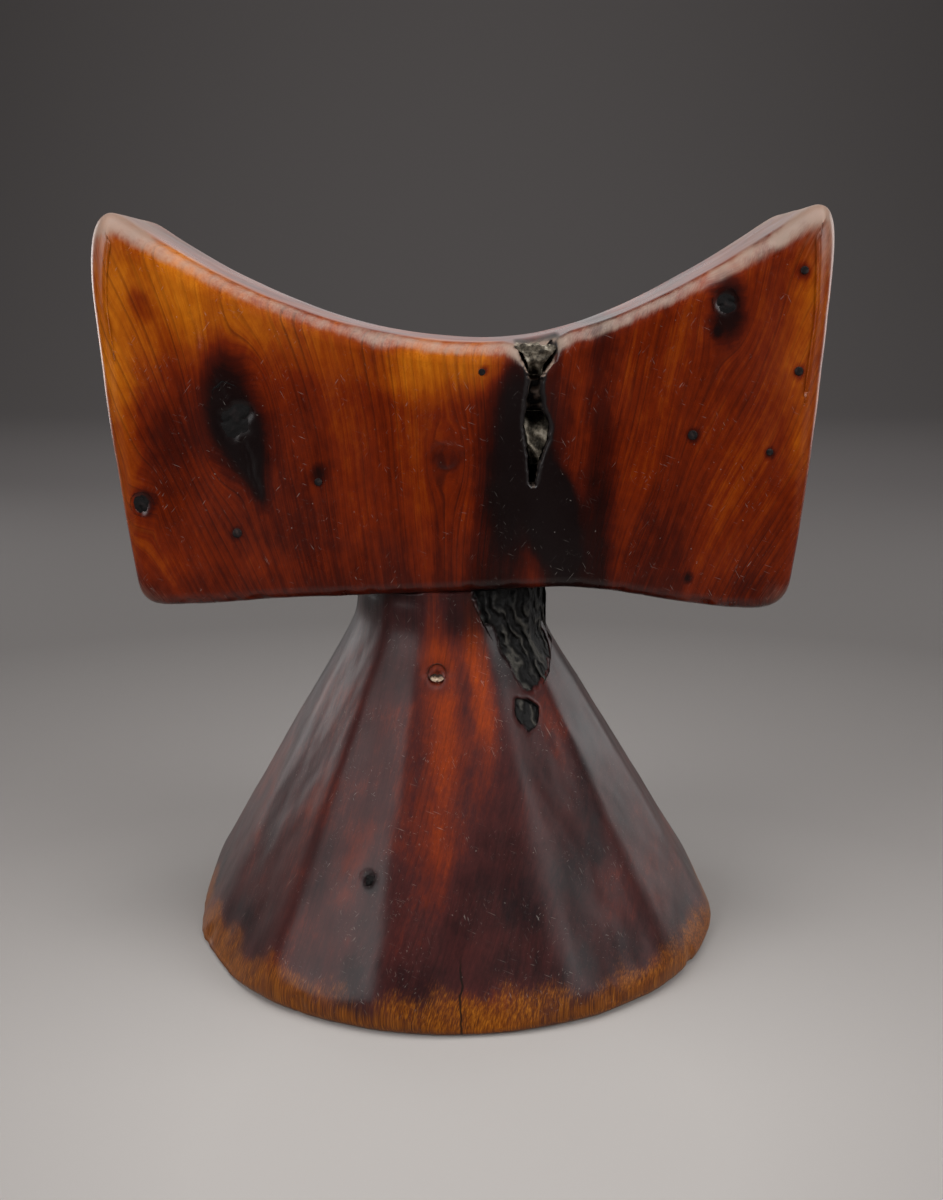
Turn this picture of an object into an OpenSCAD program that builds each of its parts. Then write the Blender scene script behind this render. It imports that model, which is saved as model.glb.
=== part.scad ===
// Carved wooden headrest: a crescent neck rest on a twelve-sided stem that
// spreads to a round foot. It is cut from one block of wood, so the stem and
// the crescent meet on a plain shoulder line. The loose things in the wood are
// its bark-ringed knots and the pockets of ingrown bark.
//
// Frame: +X to the sleeper's right, +Y to the back, +Z up. The origin is on
// the floor, below the middle of the whole headrest. All sizes in millimetres.

/* [Neck rest] */
// Thickness of the crescent, front to back
rest_depth = 50; // [44:1:58]
// Height of the lowest point of the neck saddle
saddle_z = 146.4; // [140:0.2:152]
// Distance of that lowest point to the right of the middle
saddle_x = 5; // [0:0.5:8]
// Outer end of the left horn, to the left of the middle
left_end = 83.3; // [80:0.1:86]
// Outer end of the right horn, to the right of the middle
right_end = 82.9; // [80:0.1:86]
// Curl of the left half of the saddle, a parabola, per millimetre
left_curl = 0.00425; // [0.0036:0.00005:0.0046]
// Slope that the right half of the saddle, a hyperbola, tends to
right_slope = 0.893; // [0.8:0.001:0.95]
// Stiffness of the bend of the right half at the saddle's lowest point
right_bend = 54.6; // [45:0.1:65]
// Height of the shoulder, where the underside meets the stem, on its axis
shoulder_z = 89.1; // [86:0.1:93]
// Rise of the shoulder towards the right, in degrees
shoulder_tilt = 2.4; // [0:0.1:4]
// Fall of the underside from the shoulder to its left corner
left_droop = 1.9; // [0:0.1:5]
// Fall of the underside from the shoulder to its right corner
right_droop = 5; // [0:0.1:7]
// How much narrower each end face is at its bottom than at its top
end_taper = 8; // [4:0.5:12]
// Rounding of the long edges along the saddle
saddle_edge_r = 5; // [3:0.5:7]
// Rounding of the edges on the horn tips, where hands wear them
tip_edge_r = 7; // [5:0.5:8]
// Rounding of the edges along the underside
under_edge_r = 3; // [2:0.5:5]

/* [Stem and foot] */
// Radius of the ridges on the short upright neck under the shoulder
neck_r = 24.5; // [22:0.5:26]
// Radius of the ridges where their lines reach the floor
flare_r = 71.1; // [68:0.1:76]
// Radius that the ridge lines would have at the shoulder
flare_top_r = 17.4; // [15:0.1:20]
// Radius of the round foot
foot_r = 66.9; // [62:0.1:68]
// Rounding of the foot's lower edge
foot_edge_r = 3; // [1:0.5:5]
// Middle of the upright neck, to the left of the middle of the whole
neck_left = 3.2; // [0:0.05:6]
// The flare's axis at the shoulder, to the left of the middle
flare_left = 4.15; // [0:0.05:8]
// The foot's axis, to the left of the middle
foot_left = 2.4; // [0:0.05:5]

/* [Loose inclusions] */
// Depth of the split in the crown, from the front face
split_depth = 14; // [8:1:20]
// Depth at which the ingrown bark lies in the split
split_bark_depth = 2.5; // [1:0.5:5]
// Thickness of the ingrown bark on the stem
stem_bark_depth = 4; // [2:0.5:6]
// Depth of the pin knots
pin_knot_depth = 5; // [3:0.5:8]

/* [Hidden] */

wood_colour = [0.42, 0.17, 0.06];
stem_colour = [0.22, 0.10, 0.08];
knot_colour = [0.07, 0.05, 0.05];
bark_colour = [0.20, 0.20, 0.17];

front_y = -rest_depth / 2;
clear = 1;                  // how far a cutting shape stands out of the wood

// ---- Outline of the crescent, seen from the front -------------------------

chain_steps = 44;           // pieces of the saddle line, and of the underside
corner_steps = 7;           // pieces of each rounded corner
side_steps = 6;             // pieces of each end face between its corners
seat_left = -29.5;          // the underside is one flat seat between these,
seat_right = 22;            // where it meets the stem

function saddle_at(x) =
    x < saddle_x
        ? saddle_z + left_curl * pow(x - saddle_x, 2)
        : saddle_z - right_bend
            + sqrt(pow(right_bend, 2) + pow(right_slope * (x - saddle_x), 2));

// 0 to 1, level at both ends
function ease(t) = (1 - cos(180 * min(1, max(0, t)))) / 2;

function seat_at(x) = shoulder_z + tan(shoulder_tilt) * (x + neck_left);

function under_at(x) =
    x < seat_left
        ? seat_at(seat_left)
            - left_droop * ease((seat_left - x) / (seat_left + left_end - end_taper - 6))
    : x > seat_right
        ? seat_at(seat_right)
            - right_droop * ease((x - seat_right) / (right_end - end_taper - 7 - seat_right))
    : seat_at(x);

// A quadratic curve from a to c that leans on the corner point b
function bend(a, b, c, t) =
    pow(1 - t, 2) * a + 2 * t * (1 - t) * b + pow(t, 2) * c;

left_low_x = -left_end + end_taper + 0.7;
right_low_x = right_end - end_taper + 0.4;

// Each horn: the sharp corner, and where its rounding leaves the saddle line
// and the end face
left_tip = [-left_end, saddle_at(-left_end)];
left_tip_top = [-left_end + 8.6, saddle_at(-left_end + 8.6)];
left_tip_side = [-left_end + 0.6, 159];
right_tip = [right_end, saddle_at(right_end)];
right_tip_top = [right_end - 7.4, saddle_at(right_end - 7.4)];
right_tip_side = [right_end - 0.3, 167];

// Each lower corner, in the same way
left_foot = [left_low_x, under_at(left_low_x)];
left_foot_under = [left_low_x + 5.5, under_at(left_low_x + 5.5)];
left_foot_side = [left_low_x - 0.8, left_foot.y + 5];
right_foot = [right_low_x, under_at(right_low_x)];
right_foot_under = [right_low_x - 7.5, under_at(right_low_x - 7.5)];
right_foot_side = [right_low_x + 0.9, right_foot.y + 6.5];

side_belly = 0.9;           // how far the end faces bulge past a straight line

saddle_line = [for (i = [0 : chain_steps])
    let (x = left_tip_top.x + (right_tip_top.x - left_tip_top.x) * i / chain_steps)
    [x, saddle_at(x)]];
under_line = [for (i = [chain_steps : -1 : 0])
    let (x = left_foot_under.x
        + (right_foot_under.x - left_foot_under.x) * i / chain_steps)
    [x, under_at(x)]];

// The points of one end: tip corner, end face, lower corner, going down
function end_line(top, tip, tip_side, low_side, low, under, out) = concat(
    [for (i = [1 : corner_steps]) bend(top, tip, tip_side, i / corner_steps)],
    [for (i = [1 : side_steps - 1])
        let (t = i / side_steps)
        tip_side + (low_side - tip_side) * t + [out * side_belly * sin(180 * t), 0]],
    [for (i = [0 : corner_steps - 1]) bend(low_side, low, under, i / corner_steps)]);

right_line = end_line(right_tip_top, right_tip, right_tip_side,
                      right_foot_side, right_foot, right_foot_under, 1);
left_line_down = end_line(left_tip_top, left_tip, left_tip_side,
                          left_foot_side, left_foot, left_foot_under, -1);
end_count = len(right_line);
left_line = [for (i = [end_count - 1 : -1 : 0]) left_line_down[i]];

// Clockwise from the left end of the saddle line, seen from the front
outline = concat(saddle_line, right_line, under_line, left_line);
outline_count = len(outline);

// Halfway between square to the edge and straight at the spine, a level line
// inside the crescent, so that the rounding narrows a tip without folding it
spine_end = 66;
spine_z = 117;
function unit(v) = v / norm(v);
function square_in(i) =
    let (d = unit(outline[(i + 1) % outline_count]
                  - outline[(i + outline_count - 1) % outline_count]))
    [d.y, -d.x];
function inward(i) =
    let (p = outline[i],
         spine = [min(spine_end, max(-spine_end, p.x)), spine_z])
    unit(square_in(i) + unit(spine - p));

// Edge rounding: small along the underside, larger on the saddle, largest at
// the tips
function edge_r(p) =
    let (up = min(1, max(0, (p.y - 100) / 40)),
         far = min(1, max(0, (p.y - 156) / 18)))
    under_edge_r + (saddle_edge_r - under_edge_r) * up
        + (tip_edge_r - saddle_edge_r) * far;

// ---- Crescent -------------------------------------------------------------

edge_angles = [90, 67.5, 45, 22.5, 0];

// One ring of the crescent's skin; turn 90 is the flat face, turn 0 the side
function skin_ring(turn, face) = [for (i = [0 : outline_count - 1])
    let (p = outline[i], r = edge_r(p), s = p + inward(i) * r * (1 - cos(turn)))
    [s.x, face * (rest_depth / 2 - r * (1 - sin(turn))), s.y]];

rings = concat([for (a = edge_angles) skin_ring(a, -1)],
               [for (k = [len(edge_angles) - 1 : -1 : 0]) skin_ring(edge_angles[k], 1)]);

// A flat face is cut into upright strips, and at each end into a fan of
// triangles round a point inside it
fan_steps = 6;              // strips that each fan takes the place of
fan_x = 70;
fan_z = 122;
under_start = chain_steps + 1 + end_count;
fan_points = [for (face = [-1, 1], side = [-1, 1])
    [side * fan_x, face * rest_depth / 2, fan_z]];

function fan(rim, middle) = [for (i = [0 : len(rim) - 1])
    [rim[i], rim[(i + 1) % len(rim)], middle]];

function face_pieces(start, left_middle, right_middle, flip) =
    let (n = chain_steps,
         right_rim = [for (i = [n - fan_steps : under_start + fan_steps]) start + i],
         left_rim = concat([for (i = [under_start + n - fan_steps : outline_count - 1])
                                start + i],
                           [for (i = [0 : fan_steps]) start + i]),
         strips = [for (i = [fan_steps : n - fan_steps - 1])
             let (a = start + i, b = start + i + 1,
                  c = start + under_start + n - i - 1, d = start + under_start + n - i)
             each [[a, b, c], [a, c, d]]],
         pieces = concat(fan(right_rim, right_middle), fan(left_rim, left_middle), strips))
    flip ? [for (f = pieces) [f.z, f.y, f.x]] : pieces;

module crescent() {
    skin_count = len(rings) * outline_count;
    walls = [for (k = [0 : len(rings) - 2], i = [0 : outline_count - 1])
        let (j = (i + 1) % outline_count,
             a = k * outline_count + i, b = k * outline_count + j,
             c = a + outline_count, d = b + outline_count)
        each [[a, c, b], [b, c, d]]];
    polyhedron(
        points = concat([for (r = rings) each r], fan_points),
        faces = concat(face_pieces(0, skin_count, skin_count + 1, false),
                       walls,
                       face_pieces(skin_count - outline_count,
                                   skin_count + 2, skin_count + 3, true)));
}

// ---- Stem and foot --------------------------------------------------------

// Direction of each ridge, in degrees from the front towards the right, and
// how far it stands out compared with the others: the facets are cut by eye
ridge_turn = [-74.5, -38.3, -14.3, 24.4, 49.7, 79, 110.6, 143, 172, 205, 234, 255.2];
ridge_out = [0.935, 1, 1, 1, 1, 0.98, 1.02, 1, 1, 1, 1, 1.02];
ridge_count = len(ridge_turn);
flare_top_z = shoulder_z - 2;
flare_top_k = flare_top_z / shoulder_z;

function ridge_ring(r, x) = [for (i = [0 : ridge_count - 1])
    [x + r * ridge_out[i] * sin(ridge_turn[i]), -r * ridge_out[i] * cos(ridge_turn[i])]];

module flare() {
    n = ridge_count;
    low = ridge_ring(flare_r, -foot_left);
    high = ridge_ring(flare_r + (flare_top_r - flare_r) * flare_top_k,
                      -foot_left + (foot_left - flare_left) * flare_top_k);
    polyhedron(
        points = concat([for (p = low) [p.x, p.y, 0]],
                        [for (p = high) [p.x, p.y, flare_top_z]]),
        faces = concat([[for (i = [0 : n - 1]) i]],
                       [[for (i = [n - 1 : -1 : 0]) n + i]],
                       [for (i = [0 : n - 1])
                           let (j = (i + 1) % n)
                           each [[i, n + i, j], [j, n + i, n + j]]]));
}

module foot_limit() {
    arc = [for (a = [0 : 15 : 90])
        [foot_r - foot_edge_r + foot_edge_r * sin(a), foot_edge_r * (1 - cos(a))]];
    translate([-foot_left, 0, 0])
        rotate_extrude($fn = 120)
            polygon(concat([[0, 0]], arc, [[foot_r, saddle_z], [0, saddle_z]]));
}

// The upright neck, cut to the slope of the shoulder
neck_sunk = 20;             // how far the neck reaches down inside the flare
module neck() {
    intersection() {
        translate([0, 0, shoulder_z - neck_sunk])
            linear_extrude(2 * neck_sunk)
                polygon(ridge_ring(neck_r, -neck_left));
        translate([-neck_left, 0, shoulder_z])
            rotate([0, -shoulder_tilt, 0])
                translate([-foot_r, -foot_r, -2 * neck_sunk])
                    cube([2 * foot_r, 2 * foot_r, 2 * neck_sunk]);
    }
}

module stem() {
    intersection() {
        flare();
        foot_limit();
    }
    neck();
}

// ---- Knots ----------------------------------------------------------------

// A knot is the stub of a dead branch: it narrows towards its root, which lies
// deeper in the wood and lower down. It is given by where its axis meets the
// surface, its radius there, the direction towards the root, and its depth.
stub_sides = 12;
function tilt(d) = acos(d.z / norm(d));
function heading(d) = atan2(d.y, d.x);

module branch_stub(at, r, root, depth, taper = 0.7) {
    translate(at)
        rotate([0, tilt(root), heading(root)])
            translate([0, 0, -depth * 0.6])
                cylinder(h = depth * 1.6, r1 = r * (1 + 0.6 * (1 - taper)), r2 = r * taper,
                         $fn = stub_sides);
}

module left_stub() {
    branch_stub([-50.6, front_y, 128.4], 4.6, [0.30, 0.50, -0.80], 22);
}

module right_stub() {
    branch_stub([58.1, front_y, 154.4], 3, [0.20, 0.70, -0.62], 13);
}

module edge_stub() {
    branch_stub([-72.9, front_y, 110.1], 2.8, [0.20, 0.95, -0.15], 9);
}

module upper_stem_stub() {
    branch_stub([-6, -27, 71], 2.2, [0.05, 0.90, -0.30], 9);
}

module lower_stem_stub() {
    branch_stub([-21.5, -48.9, 30], 1.9, [0.30, 0.85, -0.20], 8);
}

// Pin knots on the front face: across, up, radius
pin_places = [[51.7, 125.8, 1.1], [74.9, 161.8, 0.9], [74.8, 140, 1],
              [-32.7, 115.2, 0.9], [-51.5, 103.5, 1.1], [69.2, 122, 0.8],
              [4.3, 139.8, 0.8]];

module pin_stubs() {
    for (p = pin_places)
        translate([p.x, front_y - clear, p.y])
            rotate([-90, 0, 0])
                cylinder(h = pin_knot_depth + clear, r = p.z, $fn = stub_sides);
}

// ---- Split in the crown and ingrown bark ----------------------------------

// The split seen from the front: a notch in the saddle, a hair-wide neck, and
// a lens-shaped hollow below it
split_shape = [[10.6, 152], [12.1, 146.8], [14.3, 144.1], [15, 141.3], [14.8, 136.9],
               [14.2, 132.5], [13.8, 128.7], [14.4, 124.2], [15.2, 120.6], [15.3, 114.6],
               [16.3, 114.6], [17.4, 120.6], [19.1, 124.5], [19.4, 128.1], [17.6, 132.5],
               [17.4, 136.9], [17.9, 141.3], [19.6, 144.6], [21.8, 148.1], [22.6, 152]];

module split_void(from_front = -clear) {
    translate([0, front_y + split_depth, 0])
        rotate([90, 0, 0])
            linear_extrude(split_depth - from_front)
                polygon(split_shape);
}

// The stretch of the split between two heights, from the bark's surface down
module split_filling(low, high) {
    intersection() {
        crescent();
        split_void(split_bark_depth);
        translate([0, front_y, low])
            cube([40, rest_depth, high - low]);
    }
}

// Where the bark has grown into the stem's front, seen from the front
bark_shape = [[1.2, 90], [2.6, 86], [6.7, 78], [10.3, 72], [13.4, 66.6], [17.2, 64.6],
              [20.8, 68], [21.9, 73], [21.2, 79], [19.6, 90]];
lower_bark_shape = [[12, 64.6], [12.3, 61.2], [15.2, 57.6], [17.2, 58.6], [17.8, 62],
                    [14.6, 64.2]];

module stem_skin() {
    difference() {
        stem();
        translate([0, stem_bark_depth, 0])
            stem();
    }
}

module bark_zone(shape) {
    rotate([90, 0, 0])
        linear_extrude(flare_r)
            polygon(shape);
}

module grown_in_bark(shape) {
    intersection() {
        bark_zone(shape);
        stem_skin();
    }
}

// ---- The pieces -----------------------------------------------------------

module neck_rest() {
    color(wood_colour)
        difference() {
            crescent();
            split_void();
            left_stub();
            right_stub();
            edge_stub();
            pin_stubs();
        }
}

module pedestal() {
    color(stem_colour)
        difference() {
            stem();
            grown_in_bark(bark_shape);
            grown_in_bark(lower_bark_shape);
            upper_stem_stub();
            lower_stem_stub();
        }
}

module left_dead_knot() {
    color(knot_colour)
        intersection() {
            crescent();
            left_stub();
        }
}

module right_dead_knot() {
    color(knot_colour)
        intersection() {
            crescent();
            right_stub();
        }
}

module edge_knot() {
    color(knot_colour)
        intersection() {
            crescent();
            edge_stub();
        }
}

module pin_knots() {
    color(knot_colour)
        intersection() {
            crescent();
            pin_stubs();
        }
}

module crown_bark() {
    color(bark_colour)
        split_filling(139, 146);
}

module crevice_bark() {
    color(bark_colour)
        split_filling(119, 131);
}

module stem_bark() {
    color(bark_colour)
        grown_in_bark(bark_shape);
}

module lower_stem_bark() {
    color(bark_colour)
        grown_in_bark(lower_bark_shape);
}

module stem_upper_knot() {
    color(knot_colour)
        intersection() {
            stem();
            upper_stem_stub();
        }
}

module stem_lower_knot() {
    color(knot_colour)
        intersection() {
            stem();
            lower_stem_stub();
        }
}

neck_rest();
pedestal();
left_dead_knot();
right_dead_knot();
edge_knot();
pin_knots();
crown_bark();
crevice_bark();
stem_bark();
lower_stem_bark();
stem_upper_knot();
stem_lower_knot();
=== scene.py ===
# %% [markdown]
# # A carved wooden headrest
#
# Headrests of this kind are cut from a single block of wood and polished by years of use. Ours
# has a crescent that holds the neck, a stem with twelve knife-cut facets and a round foot.
# The measured model is loaded first and is never changed. Every mesh below is a finer skin
# for one of its parts, so each one is built from that part's own size and place.

# %% Load the measured model
import math

import bmesh
import bpy
import numpy as np
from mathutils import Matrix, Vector, noise
from mathutils.bvhtree import BVHTree


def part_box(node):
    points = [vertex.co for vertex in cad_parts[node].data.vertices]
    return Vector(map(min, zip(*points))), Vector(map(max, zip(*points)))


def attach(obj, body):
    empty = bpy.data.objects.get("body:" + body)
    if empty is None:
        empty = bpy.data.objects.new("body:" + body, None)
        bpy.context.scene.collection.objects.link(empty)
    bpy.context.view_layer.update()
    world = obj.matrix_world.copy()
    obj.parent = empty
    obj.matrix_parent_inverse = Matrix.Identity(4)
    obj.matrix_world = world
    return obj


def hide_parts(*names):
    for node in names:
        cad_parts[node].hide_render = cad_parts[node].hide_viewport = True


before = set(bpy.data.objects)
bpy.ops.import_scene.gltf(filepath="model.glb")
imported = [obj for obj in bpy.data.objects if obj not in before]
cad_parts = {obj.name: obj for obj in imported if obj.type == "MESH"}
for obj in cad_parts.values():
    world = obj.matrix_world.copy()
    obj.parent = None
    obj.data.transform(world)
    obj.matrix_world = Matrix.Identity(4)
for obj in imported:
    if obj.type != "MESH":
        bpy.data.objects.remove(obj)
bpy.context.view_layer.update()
MM = 0.001

# %% [markdown]
# ## Camera
#
# A short lens close to the object makes the foot look wide and shows a thin strip of the
# saddle's top. The camera stands level with the saddle and looks down a little, so the
# verticals lean in slightly towards the floor. Its place is a share of the object's height.

# %% Place the camera
LENS_MM = 39.9
CAMERA_RIGHT_MM = 2
CAMERA_BACK = 1.838
CAMERA_UP = 0.88
CAMERA_DOWN_TILT = 12.7
rest_low, rest_high = (np.array(corner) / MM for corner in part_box("neck_rest"))
stem_low, stem_high = (np.array(corner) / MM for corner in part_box("pedestal"))
height = rest_high[2]
camera_data = bpy.data.cameras.new("camera")
camera_data.lens = LENS_MM
camera_data.sensor_width = 36.0
camera_data.clip_start = 0.01
camera = bpy.data.objects.new("camera", camera_data)
camera.location = (CAMERA_RIGHT_MM * MM, -CAMERA_BACK * height * MM, CAMERA_UP * height * MM)
camera.rotation_euler = (math.radians(90 - CAMERA_DOWN_TILT), 0, 0)
bpy.context.scene.collection.objects.link(camera)
bpy.context.scene.camera = camera
print("camera at", [round(c / MM) for c in camera.location], "mm")

# %% [markdown]
# ## Working in millimetres
#
# Small helpers keep the later cells short. Points are kept in millimetre arrays, which are easy
# to reason about, and turned into metres only when a mesh is made. `noise_at` gives soft, seeded
# randomness: the same numbers on every run.

# %% Helpers for meshes
def noise_at(points, size, seed=0.0):
    """Smooth noise, -1 to 1, with features about `size` millimetres across."""
    shift = Vector((seed * 17.3, seed * 7.1, seed * 31.7))
    return np.array([noise.noise(Vector(p) / size + shift) for p in points.tolist()])


def smooth_step(low, high, value):
    """0 below low, 1 above high, with an S curve between them."""
    t = np.clip((value - low) / (high - low), 0.0, 1.0)
    return t * t * (3.0 - 2.0 * t)


def blob(x, z, centre, radii, turn=0.0, edge=0.5):
    """1 inside an ellipse on the front, falling to 0 across a soft edge."""
    c, s = math.cos(math.radians(turn)), math.sin(math.radians(turn))
    across = ((x - centre[0]) * c + (z - centre[1]) * s) / radii[0]
    along = (-(x - centre[0]) * s + (z - centre[1]) * c) / radii[1]
    return 1.0 - smooth_step(1.0 - edge, 1.0 + edge, np.hypot(across, along))


def new_object(name, points, faces):
    mesh = bpy.data.meshes.new(name)
    mesh.from_pydata((points * MM).tolist(), [], faces)
    mesh.shade_smooth()
    piece = bpy.data.objects.new(name, mesh)
    bpy.context.scene.collection.objects.link(piece)
    return piece


def points_of(mesh):
    flat = np.empty(len(mesh.vertices) * 3)
    mesh.vertices.foreach_get("co", flat)
    return flat.reshape(-1, 3) / MM


def normals_of(mesh):
    flat = np.empty(len(mesh.vertices) * 3)
    mesh.vertex_normals.foreach_get("vector", flat)
    return flat.reshape(-1, 3)


def move_points(mesh, points):
    mesh.vertices.foreach_set("co", (points * MM).ravel())
    mesh.update()


def paint(mesh, name, values):
    """Store one number, or one vector, for each point, for a material to read."""
    kind, field = ("FLOAT", "value") if values.ndim == 1 else ("FLOAT_VECTOR", "vector")
    layer = mesh.attributes.new(name, kind, "POINT")
    layer.data.foreach_set(field, values.astype(np.float32).ravel())


print("helpers ready, one millimetre is", MM, "m")

# %% [markdown]
# ## The crescent's outline
#
# The front view of the crescent is a closed line: the saddle, two rounded horn tips, two slightly
# bulging ends and the underside. Rather than typing it again, we slice the measured part at its
# middle and walk round the cut. The line is then divided again, closely where the wood has fine
# detail, such as the split and the knots, and more widely elsewhere.

# %% Slice the measured crescent
JUST_OFF_MIDDLE = 0.3


def sliced(node, place, facing):
    """A measured part cut by a plane, with only the cut line left."""
    cut = bmesh.new()
    cut.from_mesh(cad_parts[node].data)
    bmesh.ops.remove_doubles(cut, verts=cut.verts, dist=1e-6)
    everything = cut.verts[:] + cut.edges[:] + cut.faces[:]
    bmesh.ops.bisect_plane(cut, geom=everything, plane_co=place, plane_no=facing,
                           clear_inner=True, clear_outer=True)
    return cut


def middle_slice(node):
    cut = sliced(node, (0, JUST_OFF_MIDDLE * MM, 0), (0, 1, 0))
    corner = cut.verts[:][0]
    walk = [corner]
    came_from = None
    while True:
        step = next(e for e in corner.link_edges if e is not came_from)
        corner, came_from = step.other_vert(corner), step
        if corner is walk[0]:
            break
        walk.append(corner)
    line = np.array([(v.co.x, v.co.z) for v in walk]) / MM
    cut.free()
    return line


outline = middle_slice("neck_rest")
area = 0.5 * np.sum(outline[:, 0] * np.roll(outline[:, 1], -1)
                    - np.roll(outline[:, 0], -1) * outline[:, 1])
if area > 0:
    outline = outline[::-1]
print("outline:", len(outline), "points, area", round(abs(area) / 100, 1), "cm2")

# %% [markdown]
# The sliced line has short straight steps, which a polish would show as flat stripes. A moving
# average over two millimetres turns them into one flowing curve, as a scraper does on the wood.
# The rounded edges lean inwards, half way between square to the outline and straight towards
# a level spine inside the block.

# %% Smooth the outline
SPINE_END = 66
SPINE_HEIGHT = 117.0


def smooth_loop(line, step=0.25, reach=1.3):
    closed = np.vstack([line, line[:1]])
    run = np.concatenate([[0.0], np.cumsum(np.hypot(*np.diff(closed, axis=0).T))])
    even = np.arange(0.0, run[-1], step)
    fine = np.stack([np.interp(even, run, closed[:, k]) for k in (0, 1)], axis=1)
    offsets = np.arange(-int(4 * reach / step), int(4 * reach / step) + 1)
    weights = np.exp(-0.5 * (offsets * step / reach) ** 2)
    weights /= weights.sum()
    return sum(w * np.roll(fine, -o, axis=0) for w, o in zip(weights, offsets))


loop = smooth_loop(outline)
along = np.roll(loop, -1, axis=0) - np.roll(loop, 1, axis=0)
along /= np.linalg.norm(along, axis=1)[:, None]
outward = np.stack([-along[:, 1], along[:, 0]], axis=1)
spine_x = np.clip(loop[:, 0], -SPINE_END, SPINE_END)
spine = np.stack([spine_x, np.full(len(loop), SPINE_HEIGHT)], axis=1)
to_spine = spine - loop
to_spine /= np.linalg.norm(to_spine, axis=1)[:, None]
inward = to_spine - outward
inward /= np.linalg.norm(inward, axis=1)[:, None]
edge_radius = (3.0 + 2.0 * np.clip((loop[:, 1] - 100) / 40, 0, 1)
               + 2.0 * np.clip((loop[:, 1] - 156) / 18, 0, 1))
print("smooth outline:", len(loop), "points")

# %% [markdown]
# ## The crescent's skin
#
# The front and the back are filled with a four-sided grid whose border is the outline: this is a
# Coons patch, which blends four border curves. Between them a wall of rings rolls over the
# rounded edge and crosses the thickness. One even grid lets later steps push points in and
# out without tearing the skin. Columns are packed more closely around the split.

# %% Share out the grid
COLUMNS, ROWS = 276, 104
EDGE_RINGS, WALL_RINGS = 7, 20
half_depth = (rest_high[1] - rest_low[1]) / 2


def corner_index(toward_x, toward_z):
    return int(np.argmax(loop[:, 0] * toward_x + loop[:, 1] * toward_z))


def arc(first, last, count, axis, crowd=None):
    """Indices into the loop, from first to last, spaced evenly along one axis."""
    span = np.arange(first, last + (len(loop) if last < first else 0) + 1)
    spots = loop[span % len(loop)]
    moved = np.abs(np.diff(spots[:, axis])) + 0.15 * np.abs(np.diff(spots[:, 1 - axis]))
    if crowd:
        moved *= crowd(0.5 * (spots[1:, 0] + spots[:-1, 0]))
    run = np.concatenate([[0.0], np.cumsum(moved)])
    return np.interp(np.linspace(0, run[-1], count), run, span)


def near_split(x, middle=16.5, half_width=7.5):
    """How closely the columns are packed: 2.7 times as close at the split."""
    return 1.0 + 1.7 * np.exp(-((x - middle) / half_width) ** 4)


tip_l, tip_r = corner_index(-1, 1), corner_index(1, 1)
foot_r, foot_l = corner_index(1, -1), corner_index(-1, -1)
top = arc(tip_l, tip_r, COLUMNS, 0, near_split)
right = arc(tip_r, foot_r, ROWS, 1)
bottom = arc(foot_r, foot_l, COLUMNS, 0, near_split)
left = arc(foot_l, tip_l, ROWS, 1)
border = np.concatenate([top[:-1], right[:-1], bottom[:-1], left[:-1]])


def on_loop(values, index):
    low = np.floor(index).astype(int)
    part = (index - low)[:, None]
    values = values.reshape(len(loop), -1)
    return values[low % len(loop)] * (1 - part) + values[(low + 1) % len(loop)] * part


print("border:", len(border), "points")

# %% [markdown]
# The wall starts at the front with seven rings that roll over the edge in a quarter turn. The
# back's rings are the same ones mirrored, so both faces share one outline.

# %% Roll the wall
border_line = on_loop(loop, border)
border_in = on_loop(inward, border)
border_in /= np.linalg.norm(border_in, axis=1)[:, None]
border_r = on_loop(edge_radius, border)
rings = []
for turn in np.linspace(math.pi / 2, 0, EDGE_RINGS):
    inset = border_line + border_in * border_r * (1 - math.cos(turn))
    y = -(half_depth - border_r[:, 0] * (1 - math.sin(turn)))
    rings.append(np.stack([inset[:, 0], y, inset[:, 1]], axis=1))
front_wall = rings[-1]
for share in np.linspace(0, 1, WALL_RINGS + 1)[1:-1]:
    rings.append(front_wall * [1, 1 - 2 * share, 1])
rings += [ring * [1, -1, 1] for ring in rings[EDGE_RINGS - 1::-1]]
ring_points = np.vstack(rings)
print("wall:", len(rings), "rings")

# %% [markdown]
# The Coons patch adds two blends, bottom to top and left to right, and takes away the corners
# that were counted twice. Its two shares come from the real spacing on the borders. With even
# shares the rows near the saddle would cross the edge and fold.

# %% Fill the front and the back
across_count, up_count = COLUMNS - 1, ROWS - 1
cap = rings[0][:, [0, 2]]
cap_top = cap[:across_count + 1]
cap_right = cap[across_count:across_count + up_count + 1][::-1]
cap_bottom = cap[across_count + up_count:2 * across_count + up_count + 1][::-1]
cap_left = np.vstack([cap[2 * across_count + up_count:], cap[:1]])


def share_of(line, axis):
    return (line[:, axis] - line[0, axis]) / (line[-1, axis] - line[0, axis])


u = (0.5 * (share_of(cap_top, 0) + share_of(cap_bottom, 0)))[:, None, None]
v = (0.5 * (share_of(cap_left, 1) + share_of(cap_right, 1)))[None, :, None]
patch = ((1 - v) * cap_bottom[:, None] + v * cap_top[:, None]
         + (1 - u) * cap_left[None] + u * cap_right[None]
         - (1 - u) * (1 - v) * cap_bottom[0] - u * (1 - v) * cap_bottom[-1]
         - (1 - u) * v * cap_top[0] - u * v * cap_top[-1])
print("patch:", patch.shape[0], "by", patch.shape[1])

# %% [markdown]
# The patch's own border is already in the wall. So each grid place gets the number of a wall
# point at the border, and the number of a new point inside it.

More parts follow.
